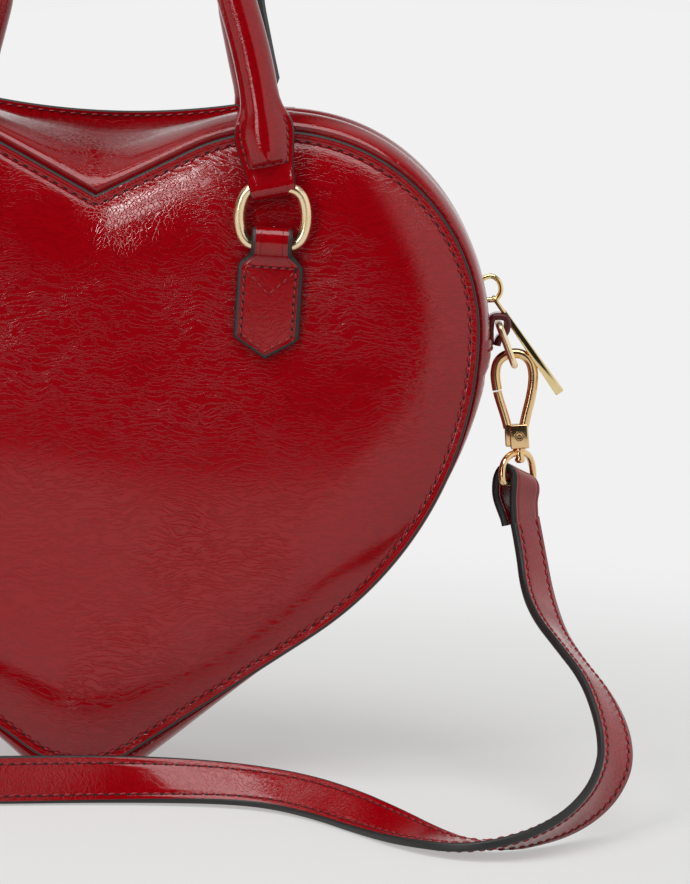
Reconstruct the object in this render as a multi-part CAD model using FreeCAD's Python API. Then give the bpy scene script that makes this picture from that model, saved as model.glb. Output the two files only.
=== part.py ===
import FreeCAD, Part
import math
import os

from FreeCAD import Vector

# A heart shaped handbag: two crowned heart panels on a bulging gusset, a zip over the right lobe,
# two rolled handles on rings, and a flat shoulder strap on two snap hooks.
# Millimetres. +Z is up, the front is -Y, +X is the zip's side. The bag stands on z = 0.

# Heart outline of the panels, seen from the front
lobe_radius = 65.0
lobe_offset = 59.4          # centre of each lobe from the middle line
side_radius = 120.0
side_sweep = 55.0           # degrees of side arc under each lobe
tip_radius = 30.0
front_cleft_angle = 30.0    # slope of the cleft's two edges, in degrees
rear_cleft_angle = 4.0

# Panels
seam_depth = 64.0           # between the backs of the two panels' edges
panel_thickness = 1.8
panel_crown = 6.0
stitch_margin = 3.0         # flat rim outside the crown
crown_run = 30.0            # from the edge to the top of the crown
foam_thickness = 1.2
lining_thickness = 0.8
layer_gap = 0.15            # between sewn layers

# Gusset
gusset_bulge = 6.0          # beyond the panels' edges
gusset_roll = 18.0          # depth over which it rolls out to the bulge
gusset_roll_power = 2.6
gusset_wall = 1.6
seam_allowance = 9.0        # turned in behind the panels
base_flat_depth = 2.5       # how much of the bulge is pressed flat under the tip

# Stitched seam that stands up behind the cleft
seam_band_half_width = 45.0
seam_band_rise = 8.0        # above the rear cleft
seam_band_end_rise = 6.5    # above the lobes' tops
seam_band_taper = 15.0
seam_band_tip_height = 1.0

# Zip over the right lobe, in degrees round the lobe's centre
zip_low_angle = 2.0
zip_high_angle = 88.0
zip_slot = 9.0
zip_dip = 3.0               # how far the strips' edges lie under the bulge
zip_seat_gap = 0.3          # between the strips' ends and the gusset
tape_width = 10.3
tape_thickness = 0.6
tape_inset = 1.7            # from the middle of the zip
tooth_pitch = 2.2
tooth_length = 0.9
tooth_reach = 0.8           # past the middle of the zip
tooth_height = 2.2
teeth_low_angle = 14.5
teeth_high_angle = 85.0
stop_length = 1.6
stop_width = 1.4

# Slider and pull
slider_angle = 12.0
slider_length = 10.0
slider_width = 7.8
slider_plate = 1.1
slider_gap = 0.4
slider_post_width = 1.6
slider_post_length = 2.4
slider_flange = 0.9
bail_length = 6.4
bail_rise = 5.0
bail_wire = 1.6
bail_corner = 1.9
pull_length = 37.0
pull_width = 4.1
pull_thin = 1.6
pull_thick = 3.0
pull_arm = 0.9
pull_pin = 1.6
pull_neck = 5.0             # from the pivot to the solid bar
pull_gap = 0.3

# Handle tabs and rings
ring_width = 25.0
ring_height = 22.5
ring_wire = 3.3
ring_corner = 6.5           # of the wire's middle line
ring_offset = 56.0          # from the middle line
ring_drop = 27.0            # ring's centre below the lobes' tops
leather_loop = 1.2          # leather round a ring
loop_slack = 0.35
fold_width = 12.4
tab_width = 21.0
tab_thickness = 2.4
tab_shoulder_drop = 15.0    # below the ring's centre
tab_length = 24.0           # from the shoulders to the start of the point
tab_point = 6.6
tab_lean = 4.6              # degrees

# Rolled handles
handle_diameter = 13.0
handle_core_diameter = 8.2
handle_lean = 13.0          # degrees that the legs lean in
handle_leg = 72.0           # from the ring's upper bar to the arch
flat_end_width = 15.0
flat_end_thickness = 4.6
flare_width = 19.0
flare_thickness = 5.6
flare_height = 15.0         # above the ring's upper bar
roll_height = 32.0          # where the flat end has become the round roll
roll_lap = 2.0              # length of the flat end's leather that goes right round the roll
roll_lap_step = 0.1         # how far that leather stands out of the roll

# Side tabs and rings
side_tab_rise = 2.5         # of the loop above the lobe's centre
side_tab_base = 4.0         # below the lobe's centre
side_tab_width = 10.0
side_tab_plate = 2.0
side_loop_leather = 1.2
side_ring_width = 18.3
side_ring_height = 15.6
side_ring_wire = 2.3
side_ring_corner = 3.5
side_ring_lean = 20.0       # degrees out from the bag

# Snap hooks
hook_wire = 2.5
hook_bow_radius = 6.35      # of the wire's middle line
hook_play = 0.3             # over the ring's bar
hook_drop = 22.7            # from the bow's top middle line to the block's top
hook_foot = 2.1             # bow's foot from the hook's axis
hook_mouth_angle = 195.0    # where the bow ends beside the gate
hook_lean = 5.6             # degrees that the strap pulls the hook out from the bag
block_width = 6.6
block_height = 8.0
block_depth = 5.2
block_fillet = 0.8
gate_slot = 2.2
gate_thickness = 1.9
gate_eye_radius = 1.9
gate_root_width = 1.7       # where the lever leaves its eye
gate_pin_radius = 0.78
gate_pin_fit = 0.02
gate_fit = 0.07
gate_pin_drop = 3.8         # below the block's top
gate_tip_offset = 4.2       # from the hook's axis
gate_tip_rise = 17.0        # above the pin
gate_tip_radius = 0.9
spring_thickness = 0.4
swivel_radius = 1.42
swivel_fit = 0.08
swivel_head_radius = 2.0
swivel_head_height = 0.7
swivel_play = 0.1
swivel_wall = 1.0           # under the swivel's head
eye_turn = 55.0             # degrees that the eye is turned from the hook's plane
eye_width = 20.3
eye_height = 11.3
eye_wire = 2.3
eye_low_corner = 2.0
eye_high_corner = 4.4
eye_neck = 1.4              # from the block to the eye's wire

# Strap: two layers of leather, 15 mm wide
strap_width = 15.0
strap_thickness = 2.8
strap_layer = 1.4
strap_slack = 0.3
strap_end_length = 12.0     # sewn fold below the eye's bar
strap_end_extra = 0.9       # tail layer on the fold

# Route of the strap between its two ends: a point on its middle line, and the way its width lies there.
# It drops from the right hook, turns over in front of the bag, lies across the front on its edge,
# and comes back up to the left hook.
strap_route = [
    ((144.6, -2.5, 74.5), (0.58, 0.81, -0.05)),
    ((146.6, -12.0, 62.5), (0.62, 0.76, -0.15)),
    ((150.5, -28.5, 54.5), (0.70, 0.66, -0.25)),
    ((157.5, -48.0, 48.0), (0.74, 0.61, -0.31)),
    ((165.5, -65.0, 40.5), (0.75, 0.60, -0.32)),
    ((170.2, -79.0, 31.5), (0.73, 0.58, -0.33)),
    ((171.5, -89.5, 22.5), (0.66, 0.66, -0.36)),
    ((168.0, -98.5, 15.5), (0.48, 0.76, -0.44)),
    ((160.5, -109.5, 10.3), (0.28, 0.83, -0.47)),
    ((150.0, -123.0, 7.2), (0.10, 0.88, -0.42)),
    ((137.5, -134.0, 4.8), (0.0, 0.93, -0.36)),
    ((122.5, -135.0, 3.2), (0.0, 0.99, -0.08)),
    ((109.5, -124.5, 3.5), (0.0, 0.99, 0.12)),
    ((97.0, -107.5, 4.4), (0.0, 0.95, 0.29)),
    ((84.0, -90.0, 5.4), (0.0, 0.90, 0.43)),
    ((70.0, -77.0, 6.2), (0.0, 0.82, 0.57)),
    ((55.0, -71.0, 6.8), (0.0, 0.73, 0.68)),
    ((36.0, -70.5, 7.3), (0.0, 0.60, 0.80)),
    ((10.0, -74.5, 7.7), (0.0, 0.36, 0.93)),
    ((-23.0, -83.0, 7.8), (0.0, 0.17, 0.99)),
    ((-62.0, -92.0, 7.8), (0.0, 0.09, 1.0)),
    ((-105.0, -100.0, 7.8), (0.0, 0.09, 1.0)),
    ((-152.0, -103.0, 7.8), (0.0, 0.09, 1.0)),
    ((-193.0, -97.0, 7.8), (0.03, 0.09, 1.0)),
    ((-221.0, -82.0, 7.8), (0.06, 0.09, 1.0)),
    ((-238.0, -61.0, 7.8), (0.10, 0.10, 1.0)),
    ((-243.0, -38.0, 8.4), (0.14, 0.10, 0.97)),
    ((-235.0, -16.0, 11.0), (0.12, 0.20, 0.95)),
    ((-217.0, -2.0, 18.5), (0.02, 0.42, 0.85)),
    ((-195.0, 5.0, 29.5), (-0.15, 0.65, 0.65)),
    ((-173.0, 7.0, 44.0), (-0.40, 0.78, 0.35)),
    ((-155.0, 4.5, 63.0), (-0.55, 0.81, 0.10)),
]

# Places worked out from the sizes above
half_depth = seam_depth / 2
side_centre = lobe_offset + lobe_radius - side_radius
slope = math.radians(90.0 - side_sweep)
sweep = math.radians(side_sweep)
tip_height = gusset_bulge - base_flat_depth
sharp_tip_drop = side_radius * math.sin(sweep) + (
    (side_centre + side_radius * math.cos(sweep)) * math.tan(slope))
lobe_height = tip_height + sharp_tip_drop - tip_radius / math.cos(slope) + tip_radius
lobe_centre = Vector(lobe_offset, 0, lobe_height)
lobe_top = lobe_height + lobe_radius
gusset_side = lobe_offset + lobe_radius + gusset_bulge
least_tip_radius = 4.0
least_oval = 0.001          # by which an oval is wider than it is thick
cut_margin = 1.0
X_AXIS = Vector(1, 0, 0)
Y_AXIS = Vector(0, 1, 0)
Z_AXIS = Vector(0, 0, 1)
ORIGIN = Vector(0, 0, 0)


def heart_wire(grow, cleft_angle, y):
    """Heart outline at depth y, standing `grow` outside the panels' edge."""
    lobe = lobe_radius + grow
    side = side_radius + grow
    tip = max(tip_radius + grow, least_tip_radius)
    cleft = math.radians(cleft_angle)

    def place(centre_x, radius, angle):
        return (centre_x + radius * math.cos(angle), lobe_height + radius * math.sin(angle))

    lobe_start = place(lobe_offset, lobe, math.pi / 2 + cleft)
    lobe_mid = place(lobe_offset, lobe, (math.pi / 2 + cleft) / 2)
    lobe_end = place(lobe_offset, lobe, 0)
    side_mid = place(side_centre, side, -sweep / 2)
    side_end = place(side_centre, side, -sweep)
    cleft_point = (0, lobe_start[1] - lobe_start[0] * math.tan(cleft))
    tip_centre = side_end[1] - side_end[0] * math.tan(slope) + tip / math.cos(slope)
    tip_start = (tip * math.sin(slope), tip_centre - tip * math.cos(slope))
    tip_point = (0, tip_centre - tip)

    def right(point):
        return Vector(point[0], y, point[1])

    def left(point):
        return Vector(-point[0], y, point[1])

    edges = [
        Part.LineSegment(right(cleft_point), right(lobe_start)),
        Part.Arc(right(lobe_start), right(lobe_mid), right(lobe_end)),
        Part.Arc(right(lobe_end), right(side_mid), right(side_end)),
        Part.LineSegment(right(side_end), right(tip_start)),
        Part.Arc(right(tip_start), right(tip_point), left(tip_start)),
        Part.LineSegment(left(tip_start), left(side_end)),
        Part.Arc(left(side_end), left(side_mid), left(lobe_end)),
        Part.Arc(left(lobe_end), left(lobe_mid), left(lobe_start)),
        Part.LineSegment(left(lobe_start), left(cleft_point)),
    ]
    return Part.Wire([edge.toShape() for edge in edges])


def heart_loft(sections):
    """Solid through heart outlines given as (grow, cleft angle, y)."""
    return Part.makeLoft([heart_wire(*section) for section in sections], True, True)


def heart_prism(grow, cleft_angle, y_low, y_high):
    face = Part.Face(heart_wire(grow, cleft_angle, y_low))
    return face.extrude(Vector(0, y_high - y_low, 0))


def box_between(low, high):
    size = high - low
    return Part.makeBox(size.x, size.y, size.z, low)


def cylinder_along(axis, centre, radius, length):
    return Part.makeCylinder(radius, length, centre - axis * (length / 2), axis)


def fused(*solids):
    return solids[0].multiFuse(list(solids[1:])).removeSplitter()


def turned(shape, centre, axis, angle):
    copy = shape.copy()
    copy.rotate(centre, axis, angle)
    return copy


def mirrored_x(shape):
    return shape.mirror(ORIGIN, X_AXIS)


def mirrored_y(shape):
    return shape.mirror(ORIGIN, Y_AXIS)


def rounded_path(points, radii, closed):
    """Wire through points, each corner rounded by a tangent arc of its radius."""
    count = len(points)
    corners = {}
    for i in range(count):
        if not closed and i in (0, count - 1):
            corners[i] = (points[i], None, points[i])
            continue
        before = (points[i - 1] - points[i]).normalize()
        after = (points[(i + 1) % count] - points[i]).normalize()
        half = before.getAngle(after) / 2
        reach = radii[i] / math.tan(half)
        middle = (before + after).normalize() * (radii[i] / math.sin(half) - radii[i])
        corners[i] = (points[i] + before * reach, points[i] + middle, points[i] + after * reach)
    edges = []
    for i in range(count if closed else count - 1):
        start, through, leave = corners[i]
        arrive = corners[(i + 1) % count][0]
        if through is not None:
            edges.append(Part.Arc(start, through, leave).toShape())
        if (arrive - leave).Length > 1e-6:
            edges.append(Part.LineSegment(leave, arrive).toShape())
    return Part.Wire(edges)


def wire_rod(path, radius):
    """Round rod along a smooth path."""
    first = path.OrderedEdges[0]
    start = first.valueAt(first.FirstParameter)
    tangent = first.tangentAt(first.FirstParameter)
    circle = Part.Wire(Part.Circle(start, tangent, radius).toShape())
    return path.makePipeShell([circle], True, False)


def crown_rise(inset):
    """Height of a panel's crown at a distance inside its edge."""
    share = min(max((inset - stitch_margin) / (crown_run - stitch_margin), 0.0), 1.0)
    return panel_crown * share * share * (3 - 2 * share)


crown_steps = 6
crown_insets = [stitch_margin + (crown_run - stitch_margin) * step / crown_steps
                for step in range(1, crown_steps + 1)]
foam_inset = seam_allowance + 1.5


def crowned_plug(rim_inset, back, lift, cleft_angle):
    """Solid under a crowned surface that stands `lift` in front of the panel edge's back."""
    insets = [inset for inset in crown_insets if inset > rim_inset + 1.0]
    sections = [(-rim_inset, cleft_angle, -back)]
    sections.append((-rim_inset, cleft_angle, -(half_depth + lift + crown_rise(rim_inset))))
    sections += [(-inset, cleft_angle, -(half_depth + lift + crown_rise(inset))) for inset in insets]
    return heart_loft(sections)


def crowned_layer(rim_inset, lift, thickness, cleft_angle):
    """Sheet of even thickness that follows the panel's crown."""
    back = half_depth + lift + crown_rise(rim_inset) - thickness
    outside = crowned_plug(rim_inset, back, lift, cleft_angle)
    inside = crowned_plug(rim_inset - 0.5, back - cut_margin, lift - thickness, cleft_angle)
    return outside.cut(inside)


def heart_panel(cleft_angle):
    """Leather panel: flat rim over the gusset's turned edge, hollow behind the crown."""
    outside = crowned_plug(0.0, half_depth, panel_thickness, cleft_angle)
    hollow = crowned_plug(foam_inset, half_depth - cut_margin, 0.0, cleft_angle)
    return outside.cut(hollow)


def heart_side(cleft_angle):
    """Panel, foam and lining of one side, made on the front."""
    foam_lift = -layer_gap
    lining_lift = foam_lift - foam_thickness - layer_gap
    return (heart_panel(cleft_angle),
            crowned_layer(foam_inset + layer_gap, foam_lift, foam_thickness, cleft_angle),
            crowned_layer(foam_inset + layer_gap, lining_lift, lining_thickness, cleft_angle))


def gusset_bulge_at(from_seam):
    """How far the gusset stands out, at a distance from the panel's back."""
    share = max(1.0 - from_seam / gusset_roll, 0.0)
    return gusset_bulge * (1.0 - share ** gusset_roll_power) ** (1.0 / gusset_roll_power)


roll_shares = (0.0, 0.06, 0.2, 0.5, 1.0)
roll_steps = [gusset_roll * share for share in roll_shares]


def cleft_angle_at(y):
    share = (y + half_depth) / seam_depth
    return front_cleft_angle + (rear_cleft_angle - front_cleft_angle) * share


def gusset_solid(inset, depth):
    """The gusset's outside moved in by `inset`, between -depth and depth, on a flat base."""
    roll = [step for step in roll_steps if half_depth - step < depth - 0.2]
    places = [-depth] + [step - half_depth for step in roll] if roll[0] > 0 else [
        step - half_depth for step in roll]
    places += [-place for place in reversed(places)]
    sections = [(gusset_bulge_at(half_depth - abs(y)) - inset, cleft_angle_at(y), y) for y in places]
    solid = heart_loft(sections)
    reach = 4 * (lobe_offset + lobe_radius)
    above = box_between(Vector(-reach, -reach, inset), Vector(reach, reach, reach))
    return solid.common(above)


def zip_wedge(low, high, radius, half_width):
    """Sector round the right lobe's centre."""
    sector = Part.makeCylinder(radius, 2 * half_width, ORIGIN, Z_AXIS, high - low)
    sector.rotate(ORIGIN, X_AXIS, 90)
    sector.translate(lobe_centre + Y_AXIS * half_width)
    return turned(sector, lobe_centre, -Y_AXIS, low)


def body_gusset():
    wall = gusset_solid(0.0, half_depth).cut(gusset_solid(gusset_wall, half_depth - gusset_wall))
    mouth_depth = 2 * gusset_wall
    front_mouth = heart_prism(-seam_allowance, front_cleft_angle,
                              -half_depth - cut_margin, -half_depth + mouth_depth)
    rear_mouth = heart_prism(-seam_allowance, rear_cleft_angle,
                             half_depth - mouth_depth, half_depth + cut_margin)
    sector = zip_wedge(zip_low_angle, zip_high_angle, 2 * lobe_radius, half_depth + cut_margin)
    return wall.cut(front_mouth).cut(rear_mouth).cut(sector)


def revolved_strip(profile, low, high):
    """Strip with a (radius, y) profile, turned round the right lobe's centre."""
    points = [lobe_centre + Vector(radius, y, 0) for radius, y in profile]
    face = Part.Face(Part.makePolygon(points + points[:1]))
    face.rotate(lobe_centre, -Y_AXIS, low)
    return face.revolve(lobe_centre, -Y_AXIS, high - low)


strip_end = math.degrees(zip_seat_gap / lobe_radius)
crown_radius = lobe_radius + gusset_bulge
tape_radius = crown_radius - zip_dip - gusset_wall - layer_gap - tape_thickness / 2


def zip_strip():
    """Front gusset strip beside the zip, with its turned-in seam allowance."""
    slot_edge = -zip_slot / 2
    outside = [(lobe_radius + gusset_bulge_at(step), step - half_depth) for step in roll_steps]
    dip_start = outside[-1][1]
    dip_middle = (crown_radius - zip_dip / 3, (dip_start + slot_edge) / 2)
    outside += [dip_middle, (crown_radius - zip_dip, slot_edge)]
    inside = [(radius - gusset_wall, y) for radius, y in reversed(outside[1:])]
    inside = [point for point in inside if point[1] > gusset_wall - half_depth + 0.2]
    flange_back = gusset_wall - half_depth
    inside.append((lobe_radius + gusset_bulge_at(gusset_wall) - gusset_wall, flange_back))
    flange = [(lobe_radius - seam_allowance, flange_back), (lobe_radius - seam_allowance, -half_depth)]
    return revolved_strip(outside + inside + flange, zip_low_angle + strip_end, zip_high_angle - strip_end)


def gusset_lining():
    outer = gusset_solid(gusset_wall + layer_gap, half_depth - gusset_wall - layer_gap)
    thickness = gusset_wall + layer_gap + lining_thickness
    reach = half_depth + cut_margin
    inner = gusset_solid(thickness, reach - cut_margin)
    ring = outer.cut(inner)
    zip_gap = zip_wedge(zip_low_angle, zip_high_angle, 2 * lobe_radius, tape_inset + tape_width + cut_margin)
    return ring.cut(zip_gap)


def cleft_seam_band():
    """Rear seam allowance standing up between the lobes."""
    low = half_depth + layer_gap
    high = half_depth + panel_thickness
    cleft = math.radians(rear_cleft_angle)
    start_x = lobe_offset - lobe_radius * math.sin(cleft)
    cleft_height = lobe_height + lobe_radius * math.cos(cleft) - start_x * math.tan(cleft)
    side_height = lobe_top + seam_band_end_rise
    end_x = seam_band_half_width + seam_band_taper
    end_height = lobe_top + seam_band_tip_height
    foot = lobe_top - lobe_radius / 2
    right = Vector(seam_band_half_width, low, side_height)
    left = Vector(-seam_band_half_width, low, side_height)
    top = Part.Arc(left, Vector(0, low, cleft_height + seam_band_rise), right).toShape()
    rest = Part.makePolygon([right, Vector(end_x, low, end_height), Vector(end_x, low, foot),
                             Vector(-end_x, low, foot), Vector(-end_x, low, end_height), left])
    sheet = Part.Face(Part.Wire([top] + rest.Edges)).extrude(Vector(0, high - low, 0))
    below = heart_prism(layer_gap, rear_cleft_angle, low - cut_margin, high + cut_margin)
    return sheet.cut(below)


def zip_tape():
    low = -tape_inset - tape_width
    profile = [(tape_radius - tape_thickness / 2, low), (tape_radius + tape_thickness / 2, low),
               (tape_radius + tape_thickness / 2, -tape_inset), (tape_radius - tape_thickness / 2, -tape_inset)]
    return revolved_strip(profile, zip_low_angle + strip_end, zip_high_angle - strip_end)


def on_zip(block, angle):
    """Move a piece drawn at the lobe's right-hand point to an angle on the zip."""
    return turned(block, lobe_centre, -Y_AXIS, angle)


def zip_block(length, y_low, y_high, height):
    low = lobe_centre + Vector(tape_radius - height / 2, y_low, -length / 2)
    high = lobe_centre + Vector(tape_radius + height / 2, y_high, length / 2)
    return box_between(low, high)


def zip_teeth(first_step, side):
    """One row of teeth; the two rows mesh half a pitch apart."""
    pitch = math.degrees(tooth_pitch / tape_radius)
    root = layer_gap - tape_inset
    tooth = zip_block(tooth_length, root, tooth_reach, tooth_height)
    if side > 0:
        tooth = mirrored_y(tooth)
    count = int((teeth_high_angle - teeth_low_angle) / pitch)
    return Part.makeCompound([on_zip(tooth, teeth_low_angle + (first_step + step) * pitch)
                              for step in range(count)])


def zip_stops():
    """One stop on each tape by the side tab, and a wide one at the other end."""
    front = zip_block(stop_length, -tape_inset + layer_gap, -tape_inset + layer_gap + stop_width, tooth_height)
    pitch = math.degrees(stop_length / tape_radius)
    low_angle = zip_low_angle + 2 * pitch
    high = zip_block(stop_length, -tape_inset + layer_gap, tape_inset - layer_gap, tooth_height)
    return Part.makeCompound([on_zip(front, low_angle), on_zip(mirrored_y(front), low_angle),
                              on_zip(high, (teeth_high_angle + zip_high_angle) / 2 + pitch / 2)])


plate_foot = tooth_height / 2 + slider_gap
slider_top = tape_radius + plate_foot + slider_plate
pivot_out = slider_top + bail_rise - bail_wire / 2 - pull_gap - pull_pin / 2 - 0.4
pivot_down = -(bail_length / 2 - bail_wire / 2 - pull_gap - pull_pin / 2)
pull_pivot = turned(Part.Vertex(lobe_centre + Vector(pivot_out, 0, pivot_down)),
                    lobe_centre, -Y_AXIS, slider_angle).Point


def zip_slider():
    """Two plates on a post, folded edges over the tapes, and the bail."""
    half = slider_width / 2
    low, high = -slider_length / 2, slider_length / 2

    def block(r_low, r_high, y_low, y_high, z_low, z_high):
        return box_between(lobe_centre + Vector(r_low, y_low, z_low), lobe_centre + Vector(r_high, y_high, z_high))

    top = block(slider_top - slider_plate, slider_top, -half, half, low, high)
    top = top.makeFillet(slider_plate * 0.8, [edge for edge in top.Edges if abs(edge.tangentAt(0).x) > 0.9])
    floor_level = tape_radius - plate_foot
    bottom = block(floor_level - slider_plate, floor_level, -half, half, low, high)
    post = block(floor_level - slider_plate / 2, slider_top - slider_plate / 2, -slider_post_width / 2,
                 slider_post_width / 2, low, low + slider_post_length)
    lip = tape_radius + tape_thickness / 2 + slider_gap
    flange = block(lip, slider_top - slider_plate / 2, -half, slider_flange - half, low / 2, high / 2)
    span = bail_length / 2
    path = [lobe_centre + Vector(slider_top - slider_plate / 2, 0, -span),
            lobe_centre + Vector(slider_top + bail_rise, 0, -span),
            lobe_centre + Vector(slider_top + bail_rise, 0, span),
            lobe_centre + Vector(slider_top - slider_plate / 2, 0, span)]
    bail = wire_rod(rounded_path(path, [0, bail_corner, bail_corner, 0], False), bail_wire / 2)
    return on_zip(fused(top, bottom, post, flange, mirrored_y(flange), bail), slider_angle)


side_loop_radius = side_ring_wire / 2 + loop_slack + side_loop_leather
side_loop_centre = Vector(gusset_side + layer_gap + side_loop_radius, 0, lobe_height + side_tab_rise)


def pull_rest_angle():
    """Degrees below the horizontal at which the pull lies on the side loop."""
    to_loop = side_loop_centre - pull_pivot
    reach = math.hypot(to_loop.x, to_loop.z)
    share = reach / pull_length
    half_bar = (pull_thin + (pull_thick - pull_thin) * share) / 2
    aside = math.asin((side_loop_radius + pull_gap + half_bar) / reach)
    return math.degrees(math.atan2(-to_loop.z, to_loop.x) - aside)


def zip_pull():
    """Tapered bar on a two-armed eye, hinged in the bail."""
    half = pull_width / 2
    pin = cylinder_along(Y_AXIS, ORIGIN, pull_pin / 2, pull_width)
    arm = box_between(Vector(-pull_pin / 2, half - pull_arm, -pull_thin / 2),
                      Vector(pull_neck + pull_arm, half, pull_thin / 2))
    nose = pull_thick / 3
    outline = [(pull_neck, -pull_thin / 2), (pull_length - nose, -pull_thick / 2), (pull_length, -nose / 2),
               (pull_length, nose / 2), (pull_length - nose, pull_thick / 2), (pull_neck, pull_thin / 2)]
    points = [Vector(x, -half, z) for x, z in outline]
    bar = Part.Face(Part.makePolygon(points + points[:1])).extrude(Vector(0, pull_width, 0))
    pull = fused(pin, arm, mirrored_y(arm), bar)
    pull.rotate(ORIGIN, Y_AXIS, pull_rest_angle())
    pull.translate(pull_pivot)
    return pull


# Handle rings stand in front of the panel, held by the tabs' folds
loop_radius = ring_wire / 2 + loop_slack + leather_loop
bore_radius = ring_wire / 2 + loop_slack
panel_front = half_depth + panel_thickness + panel_crown
ring_depth = -(panel_front + layer_gap + loop_radius)
ring_height_z = lobe_top - ring_drop
bar_reach = (ring_height - ring_wire) / 2
low_bar = Vector(ring_offset, ring_depth, ring_height_z - bar_reach)
high_bar = Vector(ring_offset, ring_depth, ring_height_z + bar_reach)


def handle_ring():
    half = (ring_width - ring_wire) / 2
    points = [low_bar + Vector(-half, 0, 0), low_bar + Vector(half, 0, 0),
              high_bar + Vector(half, 0, 0), high_bar + Vector(-half, 0, 0)]
    return wire_rod(rounded_path(points, [ring_corner] * 4, True), ring_wire / 2)


def handle_tab():
    """Pointed tab on the panel, with its neck folded round the ring's lower bar."""
    back = -(panel_front + layer_gap)
    shoulder = ring_height_z - tab_shoulder_drop
    foot = shoulder - tab_length
    half = tab_width / 2
    outline = [(-half, shoulder), (half, shoulder), (half, foot), (0, foot - tab_point), (-half, foot)]
    points = [Vector(ring_offset + x, back, z) for x, z in outline]
    plate = Part.Face(Part.makePolygon(points + points[:1])).extrude(Vector(0, -tab_thickness, 0))
    plate.rotate(Vector(ring_offset, 0, low_bar.z), Y_AXIS, tab_lean)
    neck = box_between(Vector(ring_offset - fold_width / 2, back - tab_thickness, shoulder - tab_thickness),
                       Vector(ring_offset + fold_width / 2, back, low_bar.z))
    fold = cylinder_along(X_AXIS, low_bar, loop_radius, fold_width)
    bore = cylinder_along(X_AXIS, low_bar, bore_radius, 2 * fold_width)
    return fused(plate, neck, fold).cut(bore)


leg_lean = math.radians(handle_lean)
leg_way = Vector(-math.sin(leg_lean), 0, math.cos(leg_lean))
leg_out = Vector(math.cos(leg_lean), 0, math.sin(leg_lean))
leg_top = high_bar + leg_way * handle_leg
arch_radius = leg_top.x / math.cos(leg_lean)
arch_top = Vector(0, ring_depth, leg_top.z - arch_radius * math.sin(leg_lean) + arch_radius)


def left_of(point):
    return Vector(-point.x, point.y, point.z)


def handle_path(from_height):
    """Middle line of the roll: a leaning leg, the arch and the other leg."""
    start = high_bar + leg_way * from_height
    return Part.Wire([Part.LineSegment(start, leg_top).toShape(),
                      Part.Arc(leg_top, arch_top, left_of(leg_top)).toShape(),
                      Part.LineSegment(left_of(leg_top), left_of(start)).toShape()])


def leg_oval(height, half_width, half_thickness):
    centre = high_bar + leg_way * height
    long_end = centre + leg_out * max(half_width, half_thickness + least_oval)
    return Part.Wire(Part.Ellipse(long_end, centre + Y_AXIS * half_thickness, centre).toShape())


def handle_end():
    """Flat flared end of the handle, folded round the ring's upper bar."""
    lap = handle_diameter / 2 + roll_lap_step
    flat = Part.makeLoft([leg_oval(loop_radius / 2, fold_width / 2, flat_end_thickness / 2),
                          leg_oval(flare_height / 2, flat_end_width / 2, flat_end_thickness / 2),
                          leg_oval(flare_height, flare_width / 2, flare_thickness / 2),
                          leg_oval(roll_height, lap, lap),
                          leg_oval(roll_height + roll_lap, lap, lap)], True, True)
    fold = cylinder_along(X_AXIS, high_bar, loop_radius, fold_width)
    return fused(flat, fold).cut(cylinder_along(X_AXIS, high_bar, bore_radius, 2 * fold_width))


def handle_pieces():
    """Leather roll with its ends, and the rope inside the roll."""
    right_end = handle_end()
    roll = wire_rod(handle_path(roll_height + roll_lap / 2), handle_diameter / 2)
    room = wire_rod(handle_path(roll_height + handle_diameter / 2), handle_core_diameter / 2 + layer_gap)
    core = wire_rod(handle_path(roll_height + handle_diameter / 2 + layer_gap), handle_core_diameter / 2)
    return fused(roll, right_end, mirrored_x(right_end)).cut(room), core


def side_tab():
    """Leather loop sewn on the gusset over the end of the zip."""
    half = side_tab_width / 2
    back = gusset_side + layer_gap
    plate = box_between(Vector(back, -half, lobe_height - side_tab_base),
                        Vector(back + side_tab_plate, half, side_loop_centre.z))
    loop = cylinder_along(Y_AXIS, side_loop_centre, side_loop_radius, side_tab_width)
    bore = cylinder_along(Y_AXIS, side_loop_centre, side_ring_wire / 2 + loop_slack, 2 * side_tab_width)
    return fused(plate, loop).cut(bore)


ring_lean = math.radians(side_ring_lean)
side_ring_way = Vector(math.sin(ring_lean), 0, -math.cos(ring_lean))
side_ring_bar = side_loop_centre + side_ring_way * (side_ring_height - side_ring_wire)


def side_ring():
    half = Vector(0, (side_ring_width - side_ring_wire) / 2, 0)
    points = [side_loop_centre - half, side_loop_centre + half, side_ring_bar + half, side_ring_bar - half]
    return wire_rod(rounded_path(points, [side_ring_corner] * 4, True), side_ring_wire / 2)


# The hook hangs from the side ring's lower bar, in the plane y = 0
hook_x = side_ring_bar.x
bow_top = side_ring_bar.z + side_ring_wire / 2 + hook_play + hook_wire / 2
bow_centre = Vector(hook_x, 0, bow_top - hook_bow_radius)
block_top = bow_top - hook_drop
block_foot = block_top - block_height
gate_pin_centre = Vector(hook_x, 0, block_top - gate_pin_drop)
swivel_floor = block_foot + swivel_wall


def hung(shape):
    """Lean a piece of the right hook out from the bag, round the ring's bar."""
    return turned(shape, side_ring_bar, -Y_AXIS, hook_lean)


def bow_point(angle):
    return bow_centre + Vector(math.cos(angle), 0, math.sin(angle)) * hook_bow_radius


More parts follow.
